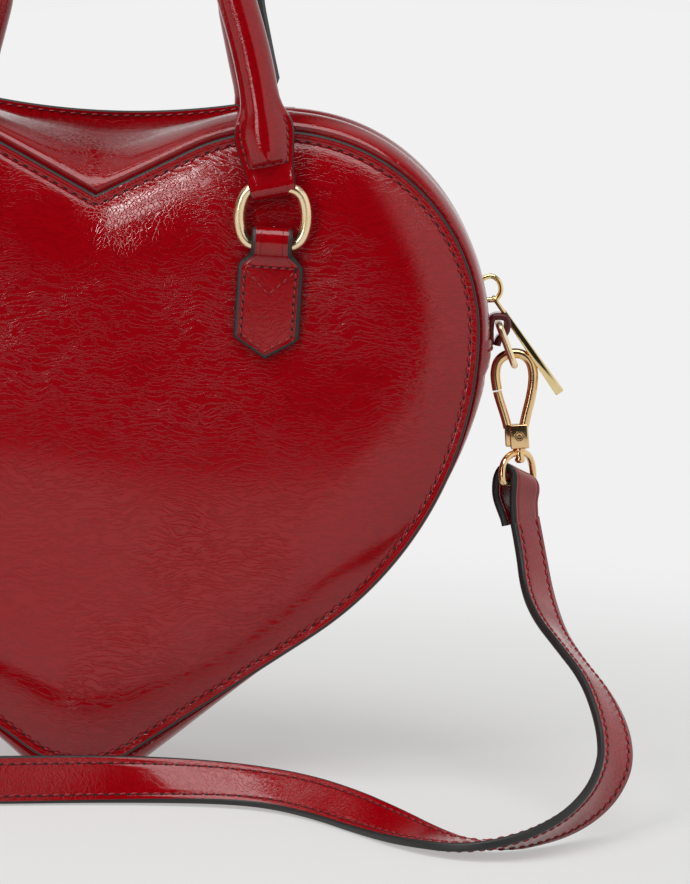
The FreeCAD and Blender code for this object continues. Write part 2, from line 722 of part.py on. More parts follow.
def hook_body():
    """Pear-shaped bow on a slotted block, bored for the gate's pin and the swivel."""
    foot = Vector(hook_x + hook_foot, 0, block_top - block_fillet)
    away = foot - bow_centre
    tangent = math.atan2(away.z, away.x) + math.acos(hook_bow_radius / away.Length)
    mouth = math.radians(hook_mouth_angle)
    arc = Part.Arc(bow_point(tangent), bow_point((tangent + mouth) / 2), bow_point(mouth))
    path = Part.Wire([Part.LineSegment(foot, bow_point(tangent)).toShape(), arc.toShape()])
    half = Vector(block_width / 2, block_depth / 2, 0)
    block = box_between(Vector(hook_x, 0, block_foot) - half, Vector(hook_x, 0, block_top) + half)
    block = block.makeFillet(block_fillet, block.Edges)
    left = hook_x - block_width
    room = gate_eye_radius + hook_play
    slot_low = box_between(Vector(left, -gate_slot / 2, gate_pin_centre.z - room),
                           Vector(hook_x + room, gate_slot / 2, gate_pin_centre.z + room))
    slot_high = box_between(Vector(left, -gate_slot / 2, gate_pin_centre.z),
                            Vector(hook_x + hook_foot - hook_wire / 2, gate_slot / 2, block_top + cut_margin))
    pin_bore = cylinder_along(Y_AXIS, gate_pin_centre, gate_pin_radius + gate_pin_fit, 2 * block_depth)
    axis_foot = Vector(hook_x, 0, block_foot - cut_margin)
    bore = Part.makeCylinder(swivel_radius + swivel_fit, swivel_wall + cut_margin + swivel_play, axis_foot)
    head_room = Part.makeCylinder(swivel_head_radius + swivel_fit, swivel_head_height + 2 * swivel_play,
                                  Vector(hook_x, 0, swivel_floor))
    return fused(block, wire_rod(path, hook_wire / 2)).cut(fused(slot_low, slot_high)).cut(pin_bore).cut(
        fused(bore, head_room))


def gate():
    """Lever from the pin's eye up to the bow's mouth."""
    half = Vector(0, gate_thickness / 2, 0)
    tip = gate_pin_centre + Vector(-gate_tip_offset, 0, gate_tip_rise)
    way = (tip - gate_pin_centre).normalize()
    across = Vector(way.z, 0, -way.x)
    root_half = gate_root_width / 2
    points = [gate_pin_centre + across * root_half, tip + across * gate_tip_radius,
              tip - across * gate_tip_radius, gate_pin_centre - across * root_half]
    points = [point - half for point in points]
    arm = Part.Face(Part.makePolygon(points + points[:1])).extrude(half * 2)
    eye = cylinder_along(Y_AXIS, gate_pin_centre, gate_eye_radius, gate_thickness)
    round_tip = cylinder_along(Y_AXIS, tip, gate_tip_radius, gate_thickness)
    hole = cylinder_along(Y_AXIS, gate_pin_centre, gate_pin_radius + gate_fit, 2 * gate_thickness)
    return fused(arm, eye, round_tip).cut(hole)


def gate_pin():
    return cylinder_along(Y_AXIS, gate_pin_centre, gate_pin_radius, block_depth)


def gate_spring():
    """Leaf in the slot's right-hand corner that pushes the gate shut."""
    right = hook_x + gate_eye_radius + hook_play
    low = gate_pin_centre.z + gate_pin_radius
    return box_between(Vector(right - spring_thickness, -gate_thickness / 2, low),
                       Vector(right, gate_thickness / 2, gate_pin_centre.z + gate_eye_radius))


eye_way = Vector(math.cos(math.radians(eye_turn)), math.sin(math.radians(eye_turn)), 0)
eye_top = block_foot - eye_neck - eye_wire / 2
eye_bar = Vector(hook_x, 0, eye_top - eye_height + eye_wire)


def swivel_eye():
    """D-shaped eye on a headed post that turns in the block."""
    half = eye_way * ((eye_width - eye_wire) / 2)
    top = Vector(hook_x, 0, eye_top)
    points = [eye_bar - half, eye_bar + half, top + half, top - half]
    radii = [eye_low_corner, eye_low_corner, eye_high_corner, eye_high_corner]
    loop = wire_rod(rounded_path(points, radii, True), eye_wire / 2)
    post_top = swivel_floor + swivel_play
    post = Part.makeCylinder(swivel_radius, post_top - eye_top + swivel_head_height / 2, top)
    head = Part.makeCylinder(swivel_head_radius, swivel_head_height, Vector(hook_x, 0, post_top))
    return fused(loop, post, head)


strap_bore = eye_wire / 2 + strap_slack
strap_top = eye_bar.z - strap_end_length


def strap_end():
    """End of the strap folded round the eye's bar and sewn to itself."""
    fold = cylinder_along(eye_way, eye_bar, strap_bore + strap_layer, strap_width)
    plate = Part.makeBox(strap_width, strap_thickness + strap_end_extra, eye_bar.z - strap_top,
                         Vector(-strap_width / 2, -strap_thickness / 2, strap_top))
    plate.rotate(ORIGIN, Z_AXIS, eye_turn)
    plate.translate(Vector(hook_x, 0, 0))
    bore = cylinder_along(eye_way, eye_bar, strap_bore, 2 * strap_width)
    return fused(plate, fold).cut(bore)


def shoulder_strap():
    """Flat band through the route's points, turned as the strap lies."""
    lean = math.radians(hook_lean)
    right_end = (hung(Part.Vertex(hook_x, 0, strap_top - layer_gap)).Point, eye_way)
    left_end = (left_of(right_end[0]), left_of(eye_way))
    stations = [right_end] + [(Vector(*point), Vector(*way)) for point, way in strap_route] + [left_end]
    last = len(stations) - 1
    wires = []
    for i, (point, way) in enumerate(stations):
        if i in (0, last):
            along = Vector(math.sin(lean), 0, -math.cos(lean) if i == 0 else math.cos(lean))
        else:
            before = (point - stations[i - 1][0]).normalize()
            after = (stations[i + 1][0] - point).normalize()
            along = (before + after).normalize()
        across = (way - along * way.dot(along)).normalize() * (strap_width / 2)
        through = along.cross(across).normalize() * (strap_thickness / 2)
        corners = [point + across + through, point - across + through,
                   point - across - through, point + across - through]
        wires.append(Part.makePolygon(corners + corners[:1]))
    band = Part.makeLoft(wires, True, True)
    runs = [(stations[i + 1][0] - stations[i][0]) for i in range(last)]
    length = sum(run.Length for run in runs)
    bends = []
    for before, after in zip(runs, runs[1:]):
        turn = before.getAngle(after)
        bends.append(0.45 * min(before.Length, after.Length) / math.tan(turn / 2) if turn > 0.01 else 999.0)
    print("strap length %.1f, volume / (section x length) %.3f, lowest point %.2f" % (
        length, band.Volume / (length * strap_width * strap_thickness), band.BoundBox.ZMin))
    print("strap bend radii", [round(bend) for bend in bends])
    return band


def build():
    """Every piece under its name."""
    pieces = {}
    for side, cleft in (("front", front_cleft_angle), ("rear", rear_cleft_angle)):
        layers = heart_side(cleft)
        for name, layer in zip(("panel", "foam", "lining"), layers):
            pieces[side + "_" + name] = layer if side == "front" else mirrored_y(layer)
    pieces["body_gusset"] = body_gusset()
    pieces["gusset_lining"] = gusset_lining()
    pieces["cleft_seam_band"] = cleft_seam_band()
    for name, piece in (("zip_strip", zip_strip()), ("zip_tape", zip_tape())):
        pieces[name + "_front"] = piece
        pieces[name + "_rear"] = mirrored_y(piece)
    pieces["zip_teeth_front"] = zip_teeth(0.0, -1)
    pieces["zip_teeth_rear"] = zip_teeth(0.5, 1)
    pieces["zip_stops"] = zip_stops()
    pieces["zip_slider"] = zip_slider()
    pieces["zip_pull"] = zip_pull()
    handle, core = handle_pieces()
    pieces["front_handle"], pieces["rear_handle"] = handle, mirrored_y(handle)
    pieces["front_handle_core"], pieces["rear_handle_core"] = core, mirrored_y(core)
    for name, piece in (("handle_ring", handle_ring()), ("handle_tab", handle_tab())):
        pieces["front_right_" + name] = piece
        pieces["front_left_" + name] = mirrored_x(piece)
        pieces["rear_right_" + name] = mirrored_y(piece)
        pieces["rear_left_" + name] = mirrored_x(mirrored_y(piece))
    sides = {"side_tab": side_tab(), "side_ring": side_ring(), "hook_body": hung(hook_body()),
             "hook_gate": hung(gate()), "gate_pin": hung(gate_pin()), "gate_spring": hung(gate_spring()),
             "swivel_eye": hung(swivel_eye()), "strap_end": hung(strap_end())}
    for name, piece in sides.items():
        pieces["right_" + name] = piece
        pieces["left_" + name] = mirrored_x(piece)
    pieces["shoulder_strap"] = shoulder_strap()
    return pieces


os.makedirs("parts", exist_ok=True)
for node, shape in build().items():
    shape.exportStep("parts/%s.step" % node)
    bounds = shape.BoundBox
    print("%-24s solids %2d valid %s volume %9.1f x %.1f..%.1f y %.1f..%.1f z %.1f..%.1f" % (
        node, len(shape.Solids), shape.isValid(), shape.Volume, bounds.XMin, bounds.XMax,
        bounds.YMin, bounds.YMax, bounds.ZMin, bounds.ZMax))
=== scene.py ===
import math

import bpy
from mathutils import Matrix, Vector, noise


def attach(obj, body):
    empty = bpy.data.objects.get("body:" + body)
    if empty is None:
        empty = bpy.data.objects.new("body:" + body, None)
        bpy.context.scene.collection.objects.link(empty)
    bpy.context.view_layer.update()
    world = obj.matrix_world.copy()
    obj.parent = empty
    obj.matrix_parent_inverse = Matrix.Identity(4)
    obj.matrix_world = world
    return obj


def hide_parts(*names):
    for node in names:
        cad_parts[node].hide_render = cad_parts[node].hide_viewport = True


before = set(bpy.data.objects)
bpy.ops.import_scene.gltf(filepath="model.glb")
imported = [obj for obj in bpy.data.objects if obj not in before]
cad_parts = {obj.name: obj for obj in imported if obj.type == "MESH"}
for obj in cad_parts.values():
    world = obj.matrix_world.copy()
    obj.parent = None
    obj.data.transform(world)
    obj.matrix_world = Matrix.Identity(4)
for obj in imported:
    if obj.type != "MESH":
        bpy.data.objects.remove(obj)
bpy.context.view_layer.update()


# Camera: a long studio lens a little above the bag, looking straight at the front panel.
# It is tilted by two degrees, so the heart leans to the right in the picture.
camera_aim = Vector((0.0825, -0.0338, 0.1124))
camera_distance = 1.30
camera_fall = math.radians(6.5)
camera_tilt = math.radians(2.08)
camera_back = camera_distance * Vector((0, -math.cos(camera_fall), math.sin(camera_fall)))
bpy.ops.object.select_all(action="DESELECT")
bpy.ops.object.camera_add(location=camera_aim + camera_back)
camera = bpy.context.object
camera.rotation_mode = "ZYX"
camera.rotation_euler = (math.pi / 2 - camera_fall, 0, camera_tilt)
camera.data.lens = 164.6
camera.data.sensor_width = 36.0
camera.data.clip_end = 60.0
bpy.context.scene.camera = camera
bpy.context.scene.view_settings.view_transform = "Standard"


# Floor: a sheet of pale grey studio card under the bag, which runs far back. It ends a little way in front,
# so that the leather mirrors the dark room there. It shows the bag's soft shadow near the bag, and further
# away it glows pale, painted a shade darker towards the front.
card_side, card_left, card_front = 60.0, -2.0, -0.85
shadow_near, shadow_far = 0.12, 0.6


def linear_colour(hex_code):
    """Linear colour of an sRGB hex value."""
    shares = [int(hex_code[i:i + 2], 16) / 255 for i in (1, 3, 5)]
    return tuple(s / 12.92 if s <= 0.04045 else ((s + 0.055) / 1.055) ** 2.4 for s in shares) + (1.0,)


def add_node(material, kind, sockets=None, **settings):
    """Adds one node: its settings, and for each socket a value or the node or output that feeds it."""
    made = material.node_tree.nodes.new("ShaderNode" + kind)
    for name, value in settings.items():
        setattr(made, name, value)
    for socket, given in (sockets or {}).items():
        if isinstance(given, bpy.types.Node):
            given = given.outputs[0]
        if isinstance(given, bpy.types.NodeSocket):
            material.node_tree.links.new(given, made.inputs[socket])
        else:
            made.inputs[socket].default_value = given
    return made


def new_material(name):
    material = bpy.data.materials.new(name)
    material.use_nodes = True
    material.node_tree.nodes.clear()
    return material


bpy.ops.mesh.primitive_plane_add(size=card_side,
                                 location=(card_left + card_side / 2, card_front + card_side / 2, 0))
floor = bpy.context.object
floor.name = "studio_floor"
bpy.ops.object.transform_apply(location=True, rotation=False, scale=False)
# Matt card: to the camera and in reflections it glows pale grey, with a painted shade that darkens it towards
# the front, apart from the shadow by the bag
card = new_material("matt_studio_card")
place = add_node(card, "TexCoord")
from_bag = add_node(card, "VectorMath", {0: place.outputs["Object"]}, operation="LENGTH")
share = add_node(card, "MapRange",
                 {"Value": from_bag.outputs["Value"], "From Min": shadow_near, "From Max": shadow_far,
                  "To Min": 0.5}, interpolation_type="SMOOTHSTEP")
split = add_node(card, "SeparateXYZ", {0: place.outputs["Object"]})
back = add_node(card, "MapRange", {"Value": split.outputs["Y"], "From Min": -0.3, "From Max": 0.35})
path = add_node(card, "LightPath")
seen = add_node(card, "Math", {0: path.outputs["Is Camera Ray"], 1: path.outputs["Is Glossy Ray"]},
                operation="MAXIMUM")
seen = add_node(card, "Math", {0: seen, 1: path.outputs["Is Transmission Ray"]}, operation="MAXIMUM")
even = add_node(card, "Math", {0: seen, 1: share}, operation="MULTIPLY")
matt = add_node(card, "BsdfDiffuse", {"Color": linear_colour("#D4D4D2")})
# Painted shade: the glow is darker towards the front of the card and paler behind it
pale = add_node(card, "MixRGB", {0: back, 1: linear_colour("#E0E0DE"), 2: linear_colour("#F1F1F1")})
glow = add_node(card, "Emission", {"Color": pale, "Strength": 1.0})
mixed = add_node(card, "MixShader", {0: even, 1: matt, 2: glow})
add_node(card, "OutputMaterial", {"Surface": mixed})
floor.data.materials.append(card)


# Studio light: a large soft box above, two small ones high in front on the left, and a tall one low on the
# left. The bag stands before a white wall, with another on its right. The room is dark in front and overhead.
bag_middle = Vector((0.05, 0, 0.12))


def soft_box(name, place, width, height, power):
    """Rectangular lamp that is turned to the bag."""
    bpy.ops.object.light_add(type="AREA", location=place)
    lamp = bpy.context.object
    lamp.name = name
    lamp.rotation_euler = (bag_middle - Vector(place)).to_track_quat("-Z", "Y").to_euler()
    lamp.data.shape = "RECTANGLE"
    lamp.data.size, lamp.data.size_y = width, height
    lamp.data.energy = power


soft_box("soft_box_above", (-0.1, -0.6, 1.6), 2.2, 0.9, 25.0)
soft_box("soft_box_key", (-0.88, -1.47, 1.27), 0.36, 0.36, 8.0)
soft_box("soft_box_fill", (-0.62, -1.61, 1.04), 0.22, 0.22, 1.4)
soft_box("soft_box_left", (-0.85, -1.4, 0.4), 0.48, 0.85, 6.5)
# The walls are ranges of the direction in which the room is seen, along each axis
room = bpy.data.worlds.new("studio_room")
room.use_nodes = True
room.node_tree.nodes.clear()
way = add_node(room, "TexCoord")
split = add_node(room, "SeparateXYZ", {0: way.outputs["Generated"]})
right = add_node(room, "MapRange",
                 {"Value": split.outputs["X"], "From Min": 0.33, "From Max": 0.46, "To Min": 0.02})
wall_top = add_node(room, "MapRange",
                    {"Value": split.outputs["Z"], "From Min": 0.56, "From Max": 0.66, "To Min": 1.0,
                     "To Max": 0.02})
right = add_node(room, "Math", {0: right, 1: wall_top}, operation="MINIMUM")
behind = add_node(room, "MapRange", {"Value": split.outputs["Y"], "From Min": -0.3, "From Max": 0.3})
low = add_node(room, "MapRange",
               {"Value": split.outputs["Z"], "From Min": 0.12, "From Max": 0.36, "To Min": 1.0,
                "To Max": 0.0})
aside = add_node(room, "Math", {0: split.outputs["X"], 1: 0.03}, operation="SUBTRACT")
aside = add_node(room, "Math", {0: aside}, operation="ABSOLUTE")
aside = add_node(room, "MapRange", {"Value": aside, "From Min": 0.02, "From Max": 0.2, "To Max": 0.6})
lit = add_node(room, "Math", {0: low, 1: aside}, operation="MAXIMUM")
behind = add_node(room, "Math", {0: behind, 1: lit}, operation="MULTIPLY")
walls = add_node(room, "Math", {0: behind, 1: right}, operation="MAXIMUM")
path = add_node(room, "LightPath")
level = add_node(room, "Math", {0: walls, 1: path.outputs["Is Camera Ray"]}, operation="MAXIMUM")
sky = add_node(room, "Background", {"Strength": level, "Color": linear_colour("#F0F0F0")})
add_node(room, "OutputWorld", {"Surface": sky})
bpy.context.scene.world = room


# Shoulder strap: a flat two-layer strap of the bag's red leather, 15 mm wide, its edges painted dark.
# It drops from the right hook, turns over on the floor, lies across the front on its edge,
# and comes back up to the left hook. The points are its middle line and the way its width runs there.
strap_width = 0.015
strap_route = [
    ((0.14281, 0.0, 0.08497), (0.574, 0.819, 0.0)),
    ((0.1452, -0.0025, 0.0745), (0.58, 0.81, -0.05)),
    ((0.1474, -0.012, 0.0625), (0.62, 0.76, -0.18)),
    ((0.1507, -0.0285, 0.0545), (0.62, 0.71, -0.36)),
    ((0.1570, -0.048, 0.0482), (0.60, 0.66, -0.46)),
    ((0.1645, -0.065, 0.0412), (0.63, 0.63, -0.44)),
    ((0.1690, -0.079, 0.0325), (0.70, 0.58, -0.36)),
    ((0.1702, -0.0895, 0.0240), (0.68, 0.64, -0.34)),
    ((0.1670, -0.0985, 0.0168), (0.52, 0.74, -0.42)),
    ((0.1602, -0.1095, 0.0110), (0.30, 0.83, -0.47)),
    ((0.150, -0.123, 0.0072), (0.10, 0.88, -0.42)),
    ((0.1375, -0.134, 0.0048), (0.0, 0.93, -0.36)),
    ((0.1225, -0.135, 0.0032), (0.0, 0.99, -0.08)),
    ((0.1095, -0.1245, 0.0035), (0.0, 0.99, 0.12)),
    ((0.097, -0.1075, 0.0044), (0.0, 0.95, 0.29)),
    ((0.084, -0.090, 0.0054), (0.0, 0.90, 0.43)),
    ((0.070, -0.077, 0.0062), (0.0, 0.82, 0.57)),
    ((0.055, -0.071, 0.0068), (0.0, 0.73, 0.68)),
    ((0.036, -0.0705, 0.0073), (0.0, 0.60, 0.80)),
    ((0.010, -0.0745, 0.0077), (0.0, 0.36, 0.93)),
    ((-0.023, -0.083, 0.0078), (0.0, 0.17, 0.99)),
    ((-0.062, -0.092, 0.0078), (0.0, 0.09, 1.0)),
    ((-0.105, -0.100, 0.0078), (0.0, 0.09, 1.0)),
    ((-0.152, -0.103, 0.0078), (0.0, 0.09, 1.0)),
    ((-0.193, -0.097, 0.0078), (0.03, 0.09, 1.0)),
    ((-0.221, -0.082, 0.0078), (0.06, 0.09, 1.0)),
    ((-0.238, -0.061, 0.0078), (0.10, 0.10, 1.0)),
    ((-0.243, -0.038, 0.0084), (0.14, 0.10, 0.97)),
    ((-0.235, -0.016, 0.011), (0.12, 0.20, 0.95)),
    ((-0.217, -0.002, 0.0185), (0.02, 0.42, 0.85)),
    ((-0.195, 0.005, 0.0295), (-0.15, 0.65, 0.65)),
    ((-0.173, 0.007, 0.044), (-0.40, 0.78, 0.35)),
    ((-0.155, 0.0045, 0.063), (-0.55, 0.81, 0.10)),
    ((-0.14281, 0.0, 0.08497), (-0.574, 0.819, 0.0)),
]


def smooth_line(name, points, fineness, closed=False):
    """Curve object whose smooth line has the given points as its control points."""
    line = bpy.data.curves.new(name, "CURVE")
    line.dimensions = "3D"
    line.resolution_u = fineness
    spline = line.splines.new("NURBS")
    spline.points.add(len(points) - 1)
    for point, spot in zip(spline.points, points):
        point.co = (*spot, 1.0)
    spline.use_cyclic_u = closed
    spline.order_u = 3
    spline.use_endpoint_u = not closed
    return bpy.data.objects.new(name, line)


def spline_points(points):
    """Points along the smooth line that has the given points as its control points."""
    line = smooth_line("line", points, 14)
    mesh = bpy.data.meshes.new_from_object(line)
    found = [v.co.copy() for v in mesh.vertices]
    bpy.data.objects.remove(line)
    bpy.data.meshes.remove(mesh)
    return found


def directions(points):
    """Unit direction of a line at each of its points."""
    ahead, behind = points[1:] + points[-1:], points[:1] + points[:-1]
    return [(a - b).normalized() for a, b in zip(ahead, behind)]


def new_piece(name, points, faces, inks, materials):
    """Object with a mesh of the given points and faces, and for each face the number of its material."""
    mesh = bpy.data.meshes.new(name)
    mesh.from_pydata([tuple(p) for p in points], [], faces)
    for material in materials:
        mesh.materials.append(material)
    for polygon, ink in zip(mesh.polygons, inks):
        polygon.material_index = ink
    made = bpy.data.objects.new(name, mesh)
    bpy.context.scene.collection.objects.link(made)
    return made


def skin(name, rings, materials, paint=None, round_closed=True, long_closed=False):
    """Closed mesh through rings of points, all of one length. paint(ring, column) gives a face's material.
    Its UV map is in metres: along the rings, then around them."""
    rows, columns = len(rings), len(rings[0])
    along, around = [0.0], [0.0]
    for i in range(rows):
        along.append(along[-1] + (rings[(i + 1) % rows][columns // 2] - rings[i][columns // 2]).length)
    for j in range(columns):
        around.append(around[-1] + (rings[rows // 2][(j + 1) % columns] - rings[rows // 2][j]).length)
    faces, corners, inks = [], [], []
    for i in range(rows if long_closed else rows - 1):
        for j in range(columns if round_closed else columns - 1):
            k, m = (i + 1) % rows, (j + 1) % columns
            faces.append([i * columns + j, i * columns + m, k * columns + m, k * columns + j])
            corners += [(along[i], around[j]), (along[i], around[j + 1]),
                        (along[i + 1], around[j + 1]), (along[i + 1], around[j])]
            inks.append(paint(i, j) if paint else 0)
    lids = []
    if not long_closed:
        lids = [list(reversed(range(columns))), list(range((rows - 1) * columns, rows * columns))]
    elif not round_closed:
        lids = [list(range(0, rows * columns, columns)),
                list(reversed(range(columns - 1, rows * columns, columns)))]
    for n, lid in enumerate(lids):
        faces.append(lid)
        corners += [(along[v // columns], around[v % columns]) for v in lid]
        inks.append(paint(-1 - n, 0) if paint else 0)
    made = new_piece(name, [p for ring in rings for p in ring], faces, inks, materials)
    for loop, corner in zip(made.data.uv_layers.new(name="metres").data, corners):
        loop.uv = corner
    return made


def chosen(*pieces):
    """Selects the given pieces alone, with the first one active."""
    bpy.ops.object.select_all(action="DESELECT")
    for piece in pieces:
        piece.select_set(True)
    bpy.context.view_layer.objects.active = pieces[0]


def finished(piece, body, slot, *nodes, angle=40.0):
    """Turns a piece's faces outwards, smooth-shades it, puts it on its body and hides the CAD nodes
    that it stands for. slot, the name of its finish, is not used."""
    chosen(piece)
    bpy.ops.object.mode_set(mode="EDIT")
    bpy.ops.mesh.select_all(action="SELECT")
    bpy.ops.mesh.normals_make_consistent(inside=False)
    bpy.ops.object.mode_set(mode="OBJECT")
    bpy.ops.object.shade_smooth_by_angle(angle=math.radians(angle))
    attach(piece, body)
    if nodes:
        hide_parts(*nodes)
    return piece


def two_tone(material, pattern, dark, light, finish, relief=None):
    """Ends a material: its colour runs from dark to light with a pattern, finish holds the surface's own
    values, and relief is a pattern that stands up, its strength and its height in millimetres."""
    tone = add_node(material, "MixRGB", {0: pattern, 1: linear_colour(dark), 2: linear_colour(light)})
    surface = add_node(material, "BsdfPrincipled", {"Base Color": tone, **finish})
    if relief:
        bump = add_node(material, "Bump",
                        {"Height": relief[0], "Strength": relief[1], "Distance": relief[2] / 1000})
        material.node_tree.links.new(bump.outputs[0], surface.inputs["Normal"])
    add_node(material, "OutputMaterial", {"Surface": surface})


# Crinkled patent leather: dyed red split leather, pressed under a clear coat that has worked into fine
# wrinkles. The eye gets a deep red under a wet gloss, which the wrinkles break into short bright lines,
# and the creases are painted a little darker, as painted shade.
def crinkled_leather(name, wrinkles, depth=0.08, creased=None):
    """wrinkles is how far apart they lie in millimetres, along both axes of the piece's UV map or all three
    of space, and depth is their depth. creased is a patch that is pinched into a net of wrinkles: its middle
    and its reach in millimetres, and the net's depth as a share of the wrinkles'."""
    leather = new_material(name)
    gloss = 0.12
    place = add_node(leather, "TexCoord")
    spot = place.outputs["UV" if len(wrinkles) == 2 else "Object"]
    per_metre = [1000 / apart for apart in wrinkles] + [0.0] * (3 - len(wrinkles))
    # The wrinkles sway by up to 14 mm over 22 mm, and come and go over 71 mm
    sway = add_node(leather, "TexNoise", {"Vector": spot, "Scale": 1000 / 22.222, "Detail": 2.0})
    swayed = add_node(leather, "VectorMath", {0: sway.outputs["Color"], 1: (0.014, 0.014, 0.014), 2: spot},
                      operation="MULTIPLY_ADD")
    fine_way = add_node(leather, "VectorMath", {0: swayed, 1: per_metre}, operation="MULTIPLY")
    fine = add_node(leather, "TexNoise", {"Vector": fine_way, "Scale": 1.0, "Detail": 3.0, "Roughness": 0.5})
    ridge = add_node(leather, "Math", {0: fine, 1: 0.5}, operation="SUBTRACT")
    ridge = add_node(leather, "Math", {0: ridge}, operation="ABSOLUTE")
    crease = add_node(leather, "MapRange", {"Value": ridge, "From Max": 0.08},
                      interpolation_type="SMOOTHSTEP")
    patches = add_node(leather, "TexNoise", {"Vector": spot, "Scale": 1000 / 71.429, "Detail": 2.0})
    worked = add_node(leather, "MapRange",
                      {"Value": patches, "From Min": 0.42, "From Max": 0.6, "To Min": 0.12})
    height = add_node(leather, "Math", {0: crease, 1: worked}, operation="MULTIPLY")
    if creased:
        middle, reach, net_depth = creased
        away = add_node(leather, "VectorMath", {0: place.outputs["Object"], 1: Vector(middle) / 1000},
                        operation="DISTANCE")
        near = add_node(leather, "MapRange",
                        {"Value": away.outputs["Value"], "From Min": reach / 3000, "From Max": reach / 1000,
                         "To Min": 1.0, "To Max": 0.0}, interpolation_type="SMOOTHSTEP")
        # Wrinkles of the net lie 1.43 mm apart, with flat leather between them
        net = add_node(leather, "TexVoronoi", {"Vector": swayed, "Scale": 1000 / 1.42857},
                       feature="DISTANCE_TO_EDGE")
        net = add_node(leather, "MapRange", {"Value": net, "From Max": 0.16, "To Max": net_depth},
                       interpolation_type="SMOOTHSTEP")
        height = add_node(leather, "Mix", {0: near, 2: height, 3: net})
    rough = add_node(leather, "MapRange",
                     {"Value": patches, "From Min": 0.3, "From Max": 0.7, "To Min": gloss * 0.8,
                      "To Max": gloss * 1.3})
    # Painted shade: the leather is coloured a little darker along the creases
    two_tone(leather, crease, "#7E0008", "#880009", {"Roughness": rough, "IOR": 1.5}, (height, 0.5, depth))
    return leather


# Edge paint: thick charcoal lacquer brushed on the cut edges. The eye gets a nearly matt, slightly uneven
# black line, with lumps about 1.4 mm apart.
edge_paint = new_material("charcoal_edge_paint")
place = add_node(edge_paint, "TexCoord")
lumps = add_node(edge_paint, "TexNoise",
                 {"Vector": place.outputs["Object"], "Scale": 1000 / 1.42857, "Detail": 2.0})
two_tone(edge_paint, lumps, "#0C0C0C", "#1E1D1C", {"Roughness": 0.5, "IOR": 1.5}, (lumps, 0.3, 0.2))


def wave_scale(apart):
    """Scale of a wave pattern whose lines lie this many millimetres apart."""
    return math.pi / 10 / (apart / 1000)


# Thread: dark red twisted polyester. The eye gets short satin dashes, each with a painted shadow of the
# needle hole, a flat dark disc just ahead of it. The turns of its twist lie 0.35 mm apart.
thread = new_material("red_polyester_thread")
place = add_node(thread, "TexCoord")
twist = add_node(thread, "TexWave",
                 {"Vector": place.outputs["Object"], "Scale": wave_scale(0.349), "Distortion": 2.0})
two_tone(thread, twist.outputs["Fac"], "#60040C", "#980A16", {"Roughness": 0.4, "IOR": 1.45})
# Painted shadow of the needle hole: a near-black disc stands for the shade inside the hole
needle_hole_shade = new_material("needle_hole_shadow")
surface = add_node(needle_hole_shade, "BsdfPrincipled",
                   {"Base Color": linear_colour("#180003"), "Roughness": 0.9})
add_node(needle_hole_shade, "OutputMaterial", {"Surface": surface})


def stitch_model():
    """One stitch along +X on the surface z = 0 and the painted shadow of its needle hole, a flat dark disc,
    as points, faces and materials.
    """
    bpy.ops.object.select_all(action="DESELECT")
    bpy.ops.mesh.primitive_uv_sphere_add(segments=6, ring_count=6, radius=1.0, rotation=(0, math.pi / 2, 0))
    model = bpy.context.object
    bpy.ops.object.transform_apply(location=False, rotation=True, scale=False)
    points = [v.co.copy() for v in model.data.vertices]
    faces = [list(p.vertices) for p in model.data.polygons]
    bpy.data.objects.remove(model)
    bpy.ops.mesh.primitive_circle_add(vertices=6, radius=1.0, fill_type="NGON", location=(0, 0, 0))
    hole = bpy.context.object
    inks = [0] * len(faces) + [1]
    faces.append([len(points) + i for i in hole.data.polygons[0].vertices])
    hole_points = [v.co.copy() for v in hole.data.vertices]
    bpy.data.objects.remove(hole)
    return points, hole_points, faces, inks


stitch_points, hole_points, stitch_faces, stitch_inks = stitch_model()


def spaced(points, normals, pitch, closed=False):
    """Even places along a line, as (point, direction, normal)."""
    if closed:
        points, normals = points + points[:1], normals + normals[:1]
    runs = [(b - a).length for a, b in zip(points, points[1:])]
    total = sum(runs)
    count = max(int(round(total / pitch)), 1)
    places, i, before = [], 0, 0.0
    for n in range(count):
        goal = (n + 0.5) * total / count
        while i < len(runs) - 1 and before + runs[i] < goal:
            before += runs[i]
            i += 1
        share = (goal - before) / runs[i]
        places.append((points[i].lerp(points[i + 1], share), (points[i + 1] - points[i]).normalized(),
                       normals[i].lerp(normals[i + 1], share).normalized()))
    return places


def sewn(name, places, body, length=0.0023, thick=0.0007, slant=0.12):
    """Stitches at the given places, each lying on the surface whose normal is given."""
    half_thick, lift = thick * 0.62, thick * 0.12
    hole_ahead, hole_long, hole_wide, hole_lift = length * 0.72, 0.0008, 0.00042, 0.00007
    points, faces, inks = [], [], []
    for point, way, normal in places:
        side = normal.cross(way).normalized()
        way = (way + side * slant).normalized()
        side = normal.cross(way).normalized()
        first = len(points)
        for p in stitch_points:
            points.append(point + way * (p.x * length / 2) + side * (p.y * half_thick)
                          + normal * (p.z * half_thick + lift))
        # The needle hole's painted shadow: a flat dark disc just ahead of the stitch
        for p in hole_points:
            points.append(point + way * (hole_ahead + p.x * hole_long) + side * (p.y * hole_wide)
                          + normal * hole_lift)
        faces += [[first + i for i in face] for face in stitch_faces]
        inks += stitch_inks
    stitches = new_piece(name, points, faces, inks, [thread, needle_hole_shade])
    return finished(stitches, body, "red_leather", angle=80.0)


strap_leather = crinkled_leather("crinkled_patent_leather_strap", (1.613, 2.381), depth=0.14)
strap_line = spline_points([point for point, way in strap_route])
strap_side = spline_points([Vector(point) + Vector(way).normalized() * strap_width / 2
                            for point, way in strap_route])
strap_ways = directions(strap_line)
hook_lean = math.radians(5.6)
hang_way = Vector((math.sin(hook_lean), 0, -math.cos(hook_lean)))
strap_ways[0], strap_ways[-1] = hang_way, Vector((hang_way.x, 0, -hang_way.z))
